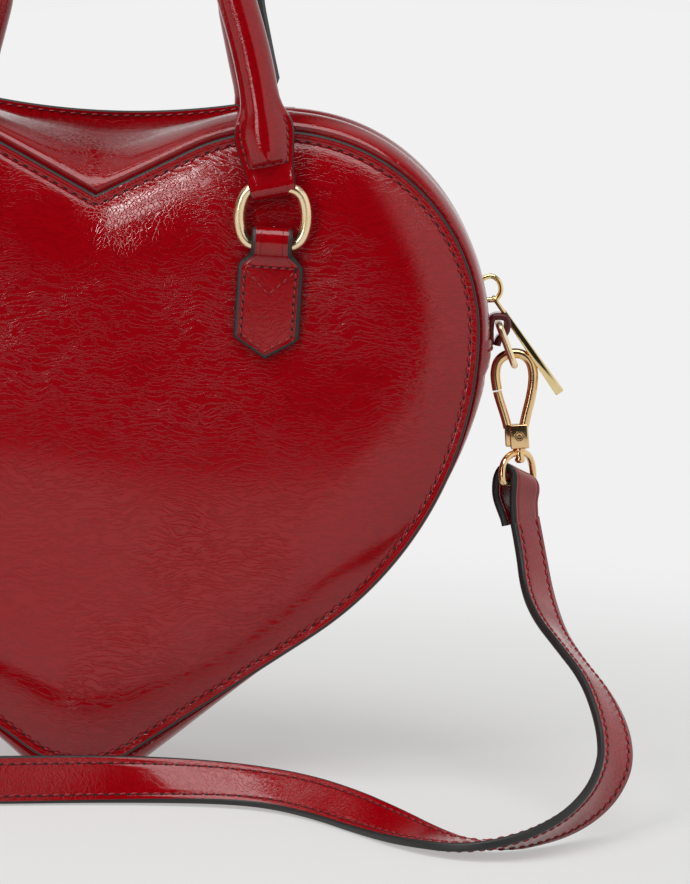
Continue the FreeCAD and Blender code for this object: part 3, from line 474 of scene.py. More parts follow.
# Half of the section, from the middle of the face to the middle of the painted edge, in millimetres
strap_half = [(0.0, 1.42), (3.4, 1.40), (4.4, 1.36), (5.0, 1.26), (5.6, 1.34), (6.7, 1.36), (7.15, 1.22),
              (7.42, 0.85), (7.5, 0.4), (7.44, 0.0)]
strap_paint, strap_stitch_line, strap_stitch_height, strap_pitch = 6.6, 0.005, 0.0013, 0.0035
strap_section = strap_half + [(a, -t) for a, t in strap_half[-2::-1]]
strap_section += [(-a, -t) for a, t in strap_half[1:]] + [(-a, t) for a, t in strap_half[-2:0:-1]]
painted = {j for j, (a, t) in enumerate(strap_section)
           if min(abs(a), abs(strap_section[(j + 1) % len(strap_section)][0])) > strap_paint}
strap_rings, strap_normals = [], []
strap_edges = {(a, t): [] for a in (1, -1) for t in (1, -1)}
for point, edge, way in zip(strap_line, strap_side, strap_ways):
    across = edge - point
    across = (across - way * across.dot(way)).normalized()
    through = way.cross(across)
    strap_normals.append(through)
    strap_rings.append([point + (across * a + through * t) / 1000 for a, t in strap_section])
    for (a, t), line in strap_edges.items():
        line.append(point + across * (a * strap_stitch_line) + through * (t * strap_stitch_height))
shoulder_strap = skin("shoulder_strap_leather", strap_rings, [strap_leather, edge_paint],
                      lambda i, j: 1 if j in painted or i < 0 else 0)
finished(shoulder_strap, "root", "red_leather", "shoulder_strap")
for (a, t), line in strap_edges.items():
    name = "strap_stitches_%s_%s" % ("outer" if a > 0 else "inner", "face" if t > 0 else "back")
    sewn(name, spaced(line, [n * t for n in strap_normals], strap_pitch), "root")


# Heart panels: the bag's front and back, cut from the crinkled leather and moulded over thin foam, so they
# stand up from a flat sewn rim. Their cut edges are painted, and a row of stitches runs 3 mm inside them.
lobe_radius, lobe_offset, lobe_height = 65.0, 59.4, 146.45
side_radius, side_sweep = 120.0, math.radians(55.0)
tip_radius, tip_least = 30.0, 4.0
half_depth = 32.0
front_cleft, rear_cleft = 27.5, 4.0
sides = (("front", -1, front_cleft), ("rear", 1, rear_cleft))
zip_top, zip_foot = 88.0, 0.0
cleft_steps, crest_steps, zip_steps, side_steps, slope_steps, tip_steps = 14, 12, 56, 40, 30, 10
panel_rise, panel_run, panel_flat, panel_wall, panel_stand = 6.0, 28.0, 3.6, 1.5, 1.8
panel_middle, panel_wave = 118.0, 0.8
panel_stitch_inset, panel_stitch_height, seam_pitch = 3.0, 1.62, 0.0036
panel_leather = crinkled_leather("crinkled_patent_leather_panel", (5.882, 5.882, 1.2195), depth=0.11,
                                 creased=((11.0, -34.0, 186.0), 24.0, 0.8))


def ramp(value, start, end):
    """Share of the way from start to end, held between 0 and 1."""
    return min(max((value - start) / (end - start), 0.0), 1.0)


def eased(share):
    """The same share with a soft start and a soft end."""
    return share * share * (3.0 - 2.0 * share)


def steps(low, high, count):
    return [low + (high - low) * i / count for i in range(count)]


def heart_outline(grow, cleft_angle):
    """Outline in millimetres as (x, z), standing `grow` outside the panels' edge. It starts in the cleft,
    goes round the right lobe to the tip, and comes back up on the left."""
    lobe, side, tip = lobe_radius + grow, side_radius + grow, max(tip_radius + grow, tip_least)
    cleft, slope = math.radians(cleft_angle), math.pi / 2 - side_sweep
    side_centre = lobe_offset + lobe_radius - side_radius
    start = (lobe_offset - lobe * math.sin(cleft), lobe_height + lobe * math.cos(cleft))
    deep = (0.0, start[1] - start[0] * math.tan(cleft))
    right = [(start[0] * s, deep[1] + (start[1] - deep[1]) * s) for s in steps(0.0, 1.0, cleft_steps)]
    if grow < 0:
        # Inside the edge, the line turns round the cleft's point in an arc
        point, reach = deep[1] - grow / math.cos(cleft), -grow * math.sin(cleft)
        right = [(x, point - math.sqrt(grow * grow - x * x) if x < reach else z) for x, z in right]
    angles = steps(90.0 + cleft_angle, zip_top, crest_steps) + steps(zip_top, zip_foot, zip_steps)
    right += [(lobe_offset + lobe * math.cos(math.radians(a)), lobe_height + lobe * math.sin(math.radians(a)))
              for a in angles]
    right += [(side_centre + side * math.cos(a), lobe_height + side * math.sin(a))
              for a in steps(0.0, -side_sweep, side_steps)]
    low = (side_centre + side * math.cos(side_sweep), lobe_height - side * math.sin(side_sweep))
    tip_height = low[1] - low[0] * math.tan(slope) + tip / math.cos(slope)
    turn = (tip * math.sin(slope), tip_height - tip * math.cos(slope))
    right += [(low[0] + (turn[0] - low[0]) * s, low[1] + (turn[1] - low[1]) * s)
              for s in steps(0.0, 1.0, slope_steps)]
    right += [(tip * math.sin(a), tip_height - tip * math.cos(a)) for a in steps(slope, 0.0, tip_steps)]
    right.append((0.0, tip_height - tip))
    return right + [(-x, z) for x, z in reversed(right[1:-1])]


def crown(inset):
    """How far a panel stands up at a distance inside its edge."""
    return panel_rise * (1.0 - (1.0 - ramp(inset, panel_flat, panel_flat + panel_run)) ** 2.4)


def heart_panel(name, cleft_angle, facing, rim, insets, thick, materials, paint, under=panel_stand):
    """Moulded panel: its rim as (inset, height over the seam), then the crown at the given insets,
    which stands `under` over its own rise there."""
    def ring(inset, stand, shrink=1.0):
        points = []
        for x, z in heart_outline(-inset, cleft_angle):
            x, z = x * shrink, panel_middle + (z - panel_middle) * shrink
            wave = noise.noise(Vector((x / 85.0, facing * 3.0, z / 66.0))) - 0.35
            y = half_depth + stand + panel_wave * ramp(inset, 6.0, 26.0) * wave
            points.append(Vector((x, facing * y, z)) / 1000)
        return points

    deep = insets[-1]
    middle_shares = (0.95, 0.88, 0.8, 0.71, 0.61, 0.5, 0.38, 0.26, 0.14, 0.04)
    back = [ring(inset, crown(inset) + under - thick) for inset in insets]
    back += [ring(deep, crown(deep) + under - thick, share) for share in middle_shares]
    front = [ring(inset, stand) for inset, stand in rim]
    front += [ring(inset, crown(inset) + under) for inset in insets]
    front += [ring(deep, crown(deep) + under, share) for share in middle_shares]
    return skin(name, back[::-1] + front, materials, lambda i, j: paint(i - len(back)))


panel_rim = [(0.6, 0.0), (0.05, 0.1), (-0.1, 0.6), (-0.08, 1.15), (0.2, 1.6), (0.7, 1.85), (1.15, 1.88),
             (1.35, 1.8), (1.7, 1.82), (2.3, 1.78), (2.7, 1.62), (3.0, 1.55), (3.3, 1.62), (3.7, 1.8)]
panel_insets = [4.3, 5.0, 6.0, 7.2, 8.6, 10.2, 12.0, 14.0, 16.5, 19.0, 22.0, 25.0, 28.0, 31.0]
painted_rows = range(0, 5)
for side, facing, cleft_angle in sides:
    panel = heart_panel(side + "_panel_leather", cleft_angle, facing, panel_rim, panel_insets, panel_wall,
                        [panel_leather, edge_paint], lambda i: 1 if i in painted_rows else 0)
    finished(panel, "root", "red_leather", side + "_panel")
    seam = [Vector((x, facing * (half_depth + panel_stitch_height), z)) / 1000
            for x, z in heart_outline(-panel_stitch_inset, cleft_angle)]
    places = spaced(seam, [Vector((0, facing, 0))] * len(seam), seam_pitch, closed=True)
    sewn(side + "_panel_stitches", places, "root")


# Gusset: the band of the same leather between the panels, turned in behind their rims and bulging past them.
# At the cleft it sags to a saddle. Its upper end on the right is doubled and sewn over the zip.
gusset_bulge, gusset_roll, gusset_wall = 6.0, 18.0, 1.4
turned_in, turned_depth = 8.0, 1.9
lobe_loss, side_loss = 0.38, 0.42
dip_depth, dip_start, dip_end = 2.2, 12.0, 27.5
overlap_height, overlap_step, overlap_stitch_height = 136.0, 0.9, 143.2
gusset_leather = crinkled_leather("crinkled_patent_leather_gusset", (3.846, 3.03, 2.381),
                                  creased=((-6.0, -8.0, 203.0), 30.0, 2.6))


def gusset_stand(depth):
    """How far the gusset stands outside the panels' edge, at a depth from the nearer seam."""
    share = max(1.0 - depth / gusset_roll, 0.0)
    return gusset_bulge * (1.0 - share ** 2.6) ** (1 / 2.6)


def flattened(x, z):
    """How much of the bulge the band has lost at a place on the outline: it stands full over the lobes, is
    pulled flat down the sides, and is full again where it rests on the floor."""
    angle = math.degrees(math.atan2(z - lobe_height, abs(x) - lobe_offset))
    lobe = lobe_loss * eased(ramp(angle, 75.0, 15.0))
    side = lobe_loss + side_loss * ramp(z, 130.0, 100.0)
    return (lobe if z > lobe_height else side) * ramp(z, 4.0, 34.0)


def zip_dip(depth):
    """How far the leather dips towards the zip, at a depth from the nearer seam."""
    return dip_depth * eased(ramp(depth, dip_start, dip_end))


def gusset_ring(y, lower, columns):
    """One line of the gusset at a depth y, lowered by the leather's thickness for its inside."""
    depth = half_depth - abs(y)
    cleft_angle = front_cleft + (rear_cleft - front_cleft) * (y + half_depth) / (2 * half_depth)
    outline = heart_outline(gusset_stand(depth) - lower, cleft_angle)
    flat = heart_outline(-lower, cleft_angle)
    risen = heart_outline(gusset_bulge - 3.0 * y / half_depth - lower, cleft_angle) if y > 0 else outline
    points = []
    for j in columns:
        low = flattened(*outline[j])
        x, z = [a + (b - a) * low for a, b in zip(outline[j], flat[j])]
        if z > lobe_height:
            # Behind the cleft, the band goes on rising to the standing seam
            tall = ramp(abs(x), 52.0, 28.0)
            x, z = [a + (b - a) * tall for a, b in zip((x, z), risen[j])]
        on_right_side = x > 100.0
        if on_right_side and lower == 0.0 and depth > 2.0:
            # The doubled end stands out, over a crease along its edge
            crease = math.exp(-((z - overlap_height) / 1.1) ** 2)
            x += overlap_step * ramp(z, overlap_height + 0.5, overlap_height + 1.7) - 0.7 * crease
        if z > lobe_height:
            # The cleft's fold is round behind the rim, and the band dips where the zip starts
            slack = 0.7 * min(depth, 14.0)
            z += (math.hypot(x, slack) - abs(x)) * math.tan(math.radians(cleft_angle))
            z -= zip_dip(depth) * (0.0 if on_right_side else eased(ramp(x, 44.0, 61.0)))
        soft = 0.5 * min(depth / 10.0, 1.0) * noise.noise(Vector((x / 22.0, y / 30.0, z / 22.0)))
        points.append(Vector((x + soft * 0.6, y, max(z + soft, lower + 0.1))) / 1000)
    return points


gusset_depths = [0.3, 0.8, 1.6, 2.8, 4.4, 6.5, 9.5, 13.0, 18.0, 24.0]
gusset_ys = [d - half_depth for d in gusset_depths] + [0.0]
gusset_ys += [half_depth - d for d in reversed(gusset_depths)]
zip_first = cleft_steps + crest_steps
outline_count = len(heart_outline(0.0, front_cleft))
gusset_columns = list(range(zip_first + zip_steps, outline_count)) + list(range(zip_first + 1))
inner_ys = [y for y in gusset_ys if abs(y) < half_depth - 1.5]
gusset_rings = [gusset_ring(y, 0.0, gusset_columns) for y in gusset_ys]
gusset_rings += [gusset_ring(half_depth - turned_depth, turned_in, gusset_columns)]
gusset_rings += [gusset_ring(y, gusset_wall, gusset_columns) for y in reversed(inner_ys)]
gusset_rings += [gusset_ring(turned_depth - half_depth, turned_in, gusset_columns)]
body_gusset = skin("gusset_leather", gusset_rings, [gusset_leather], round_closed=False, long_closed=True)
finished(body_gusset, "root", "red_leather", "body_gusset")
overlap_seam = []
for y in range(-30, 31):
    stand = gusset_stand(half_depth - abs(y)) * (1.0 - lobe_loss) + overlap_step + 0.02
    overlap_seam.append(Vector((lobe_offset + lobe_radius + stand, y, overlap_stitch_height)) / 1000)
places = spaced(overlap_seam, [Vector((1, 0, 0))] * len(overlap_seam), seam_pitch)
sewn("gusset_overlap_stitches", places, "root")


# Rear standing seam: the rear panel's rim and the gusset's, sewn together so that they stand up behind the
# cleft. Two thicknesses of leather with the painted edge on top. It runs out between the rear handle's legs.
standing_half, standing_full, standing_count = 51.0, 43.0, 60
standing_low, standing_tall = 213.8, 9.5
standing_face = half_depth + 0.1


def standing_height(x):
    """Height of the standing seam's top."""
    if abs(x) < standing_full:
        return standing_low + 4.15 * (x / 45.0) ** 2
    return standing_low + 3.8 - 1.5 * (abs(x) - standing_full)


standing_rings, standing_line = [], []
for i in range(standing_count + 1):
    x = standing_half * (2 * i / standing_count - 1)
    top = standing_height(x)
    section = [(0.0, standing_tall), (0.0, 2.3), (0.2, 1.7), (0.0, 1.1), (0.0, 0.6), (0.3, 0.15), (0.9, 0.0),
               (1.5, 0.15), (1.8, 0.7), (1.8, standing_tall)]
    standing_rings.append([Vector((x, standing_face + y, top - down)) / 1000 for y, down in section])
    standing_line.append(Vector((x, standing_face + 0.15, top - 1.7)) / 1000)
standing_seam = skin("rear_standing_seam", standing_rings, [gusset_leather, edge_paint],
                     lambda i, j: 1 if 4 <= j <= 7 else 0)
finished(standing_seam, "root", "red_leather", "cleft_seam_band")
places = spaced(standing_line, [Vector((0, -1, 0))] * len(standing_line), seam_pitch)
sewn("rear_standing_seam_stitches", places, "root")


# Zip strips: two strips of gusset leather beside the zip, over the right lobe. Each is turned in at the
# panel, rolls over the crest and dips to a folded edge that is sewn along the zip.
strip_wall, strip_stitch_depth, strip_pitch = 1.5, 24.2, 0.0034
strip_start, strip_sweep, strip_count = zip_top + 0.3, zip_top + 0.8, 62


def on_lobe(radius, angle, y):
    """Place at a radius and an angle round the right lobe's centre, in metres."""
    turn = math.radians(angle)
    return Vector((lobe_offset + radius * math.cos(turn), y, lobe_height + radius * math.sin(turn))) / 1000


def strip_stand(depth):
    return gusset_stand(depth) - zip_dip(depth)


def strip_point(stand, depth, angle, facing):
    """Place on a strip, which lies flatter towards the side of the bag."""
    edge = on_lobe(lobe_radius, angle, 0.0) * 1000
    if stand > 0:
        stand *= 1.0 - flattened(edge.x, max(edge.z, lobe_height + 0.01))
    return on_lobe(lobe_radius + stand, angle, facing * (half_depth - depth))


strip_angles = [strip_start - i * strip_sweep / strip_count for i in range(strip_count + 1)]
strip_depths = [0.3, 0.8, 1.6, 2.8, 4.4, 6.5, 9.5, 13.0, 16.5, 20.0, 23.0, 24.2, 25.4, 26.8]
strip_outline = [(strip_stand(d), d) for d in strip_depths]
strip_outline += [(2.85, 27.45), (2.2, 27.65), (1.7, 27.3)]
strip_outline += [(strip_stand(d) - strip_wall, d) for d in (25.4, 20.0, 13.0, 6.5, 3.0)]
strip_outline += [(-turned_in, turned_depth)]
for side, facing, _ in sides:
    rings = [[strip_point(h, d, a, facing) for a in strip_angles] for h, d in strip_outline]
    strip = skin("zip_strip_%s_leather" % side, rings, [gusset_leather], round_closed=False, long_closed=True)
    finished(strip, "root", "red_leather", "zip_strip_" + side)
    stitch_stand = strip_stand(strip_stitch_depth) + 0.1
    line = [strip_point(stitch_stand, strip_stitch_depth, a, facing) for a in strip_angles[2:-2]]
    outward = [(on_lobe(1.0, a, 0.0) - on_lobe(0.0, a, 0.0)).normalized() for a in strip_angles[2:-2]]
    sewn("zip_strip_%s_stitches" % side, spaced(line, outward, strip_pitch), "root")


# Zip tapes: woven polyester tape, one under each strip, that carries the teeth. The eye gets a dull, dark
# red, ribbed cloth. Its threads are drawn 1 mm and 1.4 mm apart, coarser than real ones, so that they show.
tape_radius, tape_half_thick, tape_width, tape_inset = 65.95, 0.3, 10.3, 1.7
teeth_low, teeth_high, tape_gap = 6.8, 85.8, 0.1
tape_cloth = new_material("woven_polyester_tape")
place = add_node(tape_cloth, "TexCoord")
weft = add_node(tape_cloth, "TexWave", {"Vector": place.outputs["UV"], "Scale": wave_scale(0.9865)},
                bands_direction="X")
warp = add_node(tape_cloth, "TexWave", {"Vector": place.outputs["UV"], "Scale": wave_scale(1.38)},
                bands_direction="Y")
weave = add_node(tape_cloth, "Math", {0: weft.outputs["Fac"], 1: warp.outputs["Fac"]}, operation="MULTIPLY")
two_tone(tape_cloth, weave, "#3A0206", "#6E0810", {"Roughness": 0.85, "Sheen Weight": 0.3}, (weave, 0.5, 0.2))
for side, facing, _ in sides:
    rings = []
    for a in strip_angles:
        # The tapes meet past both ends of the teeth
        edge, outer = tape_inset if teeth_low < a < teeth_high else tape_gap, tape_inset + tape_width
        outline = [(-tape_half_thick, edge), (tape_half_thick, edge), (tape_half_thick, outer),
                   (-tape_half_thick, outer)]
        rings.append([on_lobe(tape_radius + r, a, facing * y) for r, y in outline])
    tape = skin("zip_tape_%s_cloth" % side, rings, [tape_cloth])
    finished(tape, "root", "zip_tape", "zip_tape_" + side)


# Zip teeth and stops: stamped brass with an antique finish, clamped on the edges of the tapes.
# The eye gets a dull gold that is dark in the gaps and worn bright on top, in spots about 1.7 mm apart.
antique_brass = new_material("antique_brass_teeth")
place = add_node(antique_brass, "TexCoord")
tarnish = add_node(antique_brass, "TexNoise",
                   {"Vector": place.outputs["Object"], "Scale": 1000 / 1.6667, "Detail": 3.0})
two_tone(antique_brass, tarnish, "#4A3520", "#B08A50", {"Metallic": 1.0, "Roughness": 0.35})
for name in ("zip_teeth_front", "zip_teeth_rear", "zip_stops"):
    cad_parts[name].material_slots[0].material = antique_brass


# Slider and pull: die-cast zinc, plated in polished light gold. The slider's bail is an arch of wire,
# and the tapered bar of the pull hangs in it and rests on the side loop.
def polished_plate(name, light, dark, gloss=0.26):
    """Plated metal: a smooth sheen with smears about 4.5 mm wide and faint polishing marks 0.3 mm apart."""
    metal = new_material(name)
    place = add_node(metal, "TexCoord")
    smear = add_node(metal, "TexNoise",
                     {"Vector": place.outputs["Object"], "Scale": 1000 / 4.5455, "Detail": 3.0})
    marks = add_node(metal, "TexNoise",
                     {"Vector": place.outputs["Object"], "Scale": 1000 / 0.30303, "Detail": 1.0})
    rough = add_node(metal, "MapRange",
                     {"Value": smear, "From Min": 0.3, "From Max": 0.7, "To Min": gloss * 0.85,
                      "To Max": gloss * 1.15})
    two_tone(metal, smear, dark, light, {"Roughness": rough, "Metallic": 1.0}, (marks, 0.04, 0.1))
    return metal


light_gold = polished_plate("polished_light_gold_plate", "#FFEBC8", "#F6D9A6")
bright_gold = polished_plate("mirror_polished_light_gold_plate", "#F8E4B4", "#E8CC90", gloss=0.1)


def bent_wire(name, points, radius, metal, closed=False):
    """Round wire bent along the smooth line of the given control points, in millimetres."""
    wire = smooth_line(name, [Vector(spot) / 1000 for spot in points], 10, closed)
    wire.data.bevel_depth = radius / 1000
    wire.data.bevel_resolution = 5
    wire.data.use_fill_caps = True
    bpy.context.scene.collection.objects.link(wire)
    chosen(wire)
    bpy.ops.object.convert(target="MESH")
    wire.data.materials.clear()
    wire.data.materials.append(metal)
    return wire


def joined(pieces, name):
    """One piece made of several that are one casting or are pressed together."""
    chosen(*pieces)
    bpy.ops.object.join()
    pieces[0].name = name
    return pieces[0]


def rounded_block(name, low, high, bevel, metal, taper=None, segments=3):
    """Cast block between two corners in millimetres, its edges rounded. taper is how wide and how thick the
    end at its low corner is, as shares of the other end."""
    bpy.ops.object.select_all(action="DESELECT")
    bpy.ops.mesh.primitive_cube_add(size=1.0)
    block = bpy.context.object
    block.name = name
    block.scale = [(b - a) / 1000 for a, b in zip(low, high)]
    block.location = [(a + b) / 2000 for a, b in zip(low, high)]
    bpy.ops.object.transform_apply(location=True, rotation=True, scale=True)
    if taper:
        for v in block.data.vertices:
            if v.co.x < (low[0] + high[0]) / 2000:
                v.co.y *= taper[0]
                v.co.z *= taper[1]
    rounding = block.modifiers.new("rounding", "BEVEL")
    rounding.width, rounding.segments = bevel / 1000, segments
    bpy.ops.object.modifier_apply(modifier=rounding.name)
    block.data.materials.append(metal)
    return block


slider_angle = 12.0
slider_wide, slider_long = 3.9, 5.0
lip_place, lip_half = 3.45, 0.45
bail_foot, bail_top = 2.0, 7.75
pull_pivot = Vector((129.9, 0.0, 157.7))
pull_fall = math.radians(53.0)
# The slider is drawn round its own middle: outwards from the bag, across the zip, and along the zip
slider_boxes = [
    ("slider_top", (1.5, -slider_wide, -slider_long), (2.7, slider_wide, slider_long), 0.55),
    ("slider_foot", (-2.6, -slider_wide, -slider_long), (-1.5, slider_wide, slider_long), 0.4),
    ("slider_post", (-2.0, -0.8, -slider_long), (2.0, 0.8, -2.6), 0.2)]
slider_boxes += [("slider_lip", (0.7, y - lip_half, -2.5), (2.2, y + lip_half, 2.5), 0.2)
                 for y in (-lip_place, lip_place)]
slider_parts = [rounded_block(*box, light_gold) for box in slider_boxes]
bail_half = [(bail_foot, 3.2), (bail_foot + 1.6, 3.9), (bail_top - 1.7, 4.0), (bail_top + 0.3, 1.7)]
bail_line = [(out, 0, -along) for out, along in bail_half]
bail_line += [(out, 0, along) for out, along in bail_half[::-1]]
slider_parts.append(bent_wire("slider_bail", bail_line, 0.85, bright_gold))
zip_slider = joined(slider_parts, "zip_slider_cast")
slider_turn = Matrix.Rotation(math.radians(slider_angle), 4, (0, -1, 0))
zip_slider.data.transform(Matrix.Translation(Vector((lobe_offset, 0, lobe_height)) / 1000) @ slider_turn
                          @ Matrix.Translation(Vector((tape_radius, 0, 0)) / 1000))
finished(zip_slider, "zip_slider", "gold_metal", "zip_slider")

# The pull is drawn along +X from its pivot, then turned down to its rest
pull_bar = rounded_block("pull_bar", (4.8, -2.05, -1.55), (37.8, 2.05, 1.55), 0.4, bright_gold,
                         taper=(0.9, 0.55), segments=2)
eye_half = [(5.6, 1.5), (3.2, 1.55), (0.4, 1.5), (-0.5, 0.9)]
eye_line = [(x, y, 0) for x, y in eye_half] + [(x, -y, 0) for x, y in eye_half[::-1]]
zip_pull = joined([pull_bar, bent_wire("pull_eye", eye_line, 0.72, bright_gold)], "zip_pull_bar")
zip_pull.data.transform(Matrix.Translation(pull_pivot / 1000) @ Matrix.Rotation(pull_fall, 4, (0, 1, 0)))
finished(zip_pull, "zip_pull", "gold_metal", "zip_pull")


# Handle rings: four closed oval rings of cast zinc, plated in polished light gold. Each hangs between a
# handle and its tab, with its top leaning a little away from the panel.
ring_across, ring_plane, ring_height = 57.0, 43.15, 184.45
ring_wide, ring_tall, ring_lean, ring_wire = 10.7, 9.6, 1.0, 1.72
ends = (("right", 1), ("left", -1))


def four_quarters(quarter):
    """Closed loop from one quarter of it, which starts one point before that quarter."""
    half = quarter + [(-a, b) for a, b in quarter[::-1]]
    loop = half + [(-a, -b) for a, b in half]
    return loop[-1:] + loop[:-1]


# A quarter of the oval, as shares of its half width and half height
oval = four_quarters([(1.0, 0.3), (0.84, 0.8), (0.5, 1.0)])
for side, facing, _ in sides:
    for end, hand in ends:
        line = [(hand * ring_across + a * ring_wide, facing * (ring_plane + ring_lean * b),
                 ring_height + b * ring_tall) for a, b in oval]
        ring = bent_wire("%s_%s_handle_ring_cast" % (side, end), line, ring_wire, light_gold, closed=True)
        finished(ring, side + "_rings", "gold_metal", "%s_%s_handle_ring" % (side, end))


# Handles: leather rolled round a rope and closed by a painted seam on the inner side. Each end is left flat
# and flared, folded round its ring and sewn: a row along each painted edge and a row across above the ring.
bar_height, bar_across, leg_lean = 194.05, 56.0, math.radians(13.0)
leg_length, arch_radius = 72.0, 40.85
roll_radius, roll_start, roll_count = 6.15, 31.0, 34
handle_pitch, handle_stitch, edge_row, cross_row = 0.0027, 0.0021, 0.78, 6.9
handle_leather = crinkled_leather("crinkled_patent_leather_handle", (1.923, 4.1667), depth=0.12)
# Height above the ring's bar, half width, half thickness at the edge and in the middle, and the share of
# the round roll, up one end of a handle
handle_end = [(-3.4, 7.2, 0.2, 0.2, 0.0), (-3.2, 7.3, 1.2, 1.2, 0.0), (-2.4, 7.3, 2.4, 2.4, 0.0),
              (-1.4, 7.35, 3.15, 3.15, 0.0), (0.0, 7.4, 3.45, 3.45, 0.0), (1.6, 7.45, 3.2, 3.2, 0.0),
              (3.4, 7.55, 2.6, 2.6, 0.0), (5.4, 7.75, 2.1, 2.15, 0.0), (6.5, 7.9, 1.9, 1.95, 0.0),
              (7.2, 8.05, 1.85, 2.2, 0.0), (7.9, 8.2, 1.8, 4.7, 0.0), (9.0, 8.45, 1.75, 5.9, 0.0),
              (12.0, 9.05, 1.7, 6.1, 0.0), (15.0, 9.5, 1.7, 6.15, 0.0), (17.5, 9.65, 1.7, 6.15, 0.0),
              (19.5, 9.5, 1.7, 6.2, 0.04), (21.5, 9.05, 1.75, 6.2, 0.14), (23.5, 8.4, 1.9, 6.25, 0.32),
              (25.5, 7.8, 2.1, 6.3, 0.55), (28.0, 7.2, 2.4, 6.3, 0.82), (31.0, 6.6, 3.0, 6.2, 1.0)]
flat_quarter = [(1.0, 0.0), (0.99, 0.72), (0.95, 1.0), (0.87, 1.0), (0.78, 0.94), (0.66, 1.0), (0.52, 1.0),
                (0.36, 1.0), (0.18, 1.0), (0.0, 1.0)]
flat_half = flat_quarter + [(-u, t) for u, t in flat_quarter[-2::-1]]
flat_section = flat_half + [(u, -t) for u, t in flat_half[-2:0:-1]]
# The seam's fin: which stations of the section are its foot and its tip, on the front and the rear handle
seam_fins = {-1: (26, 27, 28, 29), 1: (32, 33, 34, 35)}
fin_height, fin_half = 4.2, 1.15
# Rows of faces where the flat end stops and the roll starts, and the columns of the flat end's painted edges
flat_last, roll_first, flat_edges = 15, 18, (0, 1, 16, 17, 18, 19, 34, 35)


def handle_sway(s, facing):
    """The handles are soft: the front one's leg bows outwards above the ring, the rear one's bows inwards."""
    if facing < 0:
        return 2.2 * math.sin(math.pi * ramp(s, 0.0, 76.0)) ** 2
    return -2.7 * ramp(s, 0.0, 12.0) * (1.0 - eased(ramp(s, 54.0, 76.0)))


def handle_station(s, facing):
    """Point and outward direction in the handle's plane, at a distance up the right leg from its ring."""
    way = Vector((-math.sin(leg_lean), math.cos(leg_lean)))
    out = Vector((math.cos(leg_lean), math.sin(leg_lean)))
    foot = Vector((bar_across, bar_height))
    sway = Vector((0.6 * max(1.0 - s / 40.0, 0.0) + handle_sway(s, facing), 0.0))
    if s <= leg_length:
        return foot + way * s + sway, out
    centre = foot + way * leg_length - out * arch_radius
    turn = leg_lean + (s - leg_length) / arch_radius
    out = Vector((math.cos(turn), math.sin(turn)))
    return centre + out * arch_radius + sway, out


def handle_ring(place, out, facing, wide, edge, middle, roll, seam):
    """One section of the handle, between its flat end and its roll. Its inner side carries the seam."""
    points = []
    fin = seam_fins[facing]
    for k, (u, t) in enumerate(flat_section):
        angle = 2 * math.pi * k / len(flat_section)
        bell = (1.0 - min(abs(u) / 0.73, 1.0) ** 2) ** 0.75
        flat = (u * wide, t * (edge + (middle - edge) * bell))
        rolled = (roll_radius * math.cos(angle), roll_radius * math.sin(angle))
        if k in fin:
            tip = roll_radius + seam * fin_height if k in fin[1:3] else roll_radius
            lean = 2 * math.pi * (fin[0] + 1.5) / len(flat_section)
            aside = fin_half if k in fin[2:] else -fin_half
            rolled = (tip * math.cos(lean) - aside * math.sin(lean),
                      tip * math.sin(lean) + aside * math.cos(lean))
        a, b = [f + (r - f) * roll for f, r in zip(flat, rolled)]
        spot = place + out * a
        points.append(Vector((spot.x, facing * (ring_plane + b), spot.y)) / 1000)
    return points


def with_left_half(rings):
    """The right half's rings, followed by the same rings on the left."""
    return rings + [[Vector((-p.x, p.y, p.z)) for p in ring] for ring in rings[-2::-1]]


arch_end = leg_length + (math.pi / 2 - leg_lean) * arch_radius
roll_steps = [roll_start + i * (arch_end - roll_start) / roll_count for i in range(1, roll_count + 1)]
handle_rows = handle_end + [(s, roll_radius, 3.0, roll_radius, 1.0) for s in roll_steps]
for side, facing, _ in sides:
    rings = []
    for s, wide, edge, middle, roll in handle_rows:
        place, out = handle_station(s, facing)
        rings.append(handle_ring(place, out, facing, wide, edge, middle, roll, ramp(s, 25.0, 30.0)))
    rings = with_left_half(rings)
    flat_rows = {i for i in range(len(rings)) if min(i, len(rings) - 2 - i) <= flat_last}
    roll_rows = {i for i in range(len(rings)) if min(i, len(rings) - 2 - i) >= roll_first}

    def handle_paint(i, j):
        if i < 0:
            return 1
        if i in flat_rows:
            return 1 if j in flat_edges else 0
        return 1 if i in roll_rows and j in seam_fins[facing][:3] else 0

    handle = skin(side + "_handle_leather", rings, [handle_leather, edge_paint], handle_paint)
    finished(handle, side + "_handle", "red_leather", side + "_handle")
    flared = [row for row in handle_end if 6.5 <= row[0] <= 21.5]
    for end, hand in ends:
        for face, toward in (("outside", 1), ("inside", -1)):
            # Each row of stitches as (distance up the leg, distance across it, height over the middle plane)
            rows = [[(s, wide * share, edge * 0.96 + roll) for s, wide, edge, middle, roll in flared]
                    for share in (edge_row, -edge_row)]
            rows.append([(cross_row, a, 1.95) for a in (-6.0, 0.0, 6.0)])
            places = []
            for row in rows:
                line = []
                for s, a, height in row:
                    place, out = handle_station(s, facing)
                    x, z = place + out * a
                    line.append(Vector((hand * x, facing * (ring_plane + toward * height), z)) / 1000)
                places += spaced(line, [Vector((0, facing * toward, 0))] * len(line), handle_pitch)
            name = "%s_handle_%s_%s_stitches" % (side, end, face)
            sewn(name, places, side + "_handle", length=handle_stitch)


# Handle cores: three-strand cotton rope inside the roll, from one flared end to the other, which keeps it
# round. Undyed and matt, and out of sight.
core_radius, core_start, core_count, core_sides = 4.0, 32.5, 40, 18
cotton_rope = new_material("undyed_cotton_rope")
place = add_node(cotton_rope, "TexCoord")
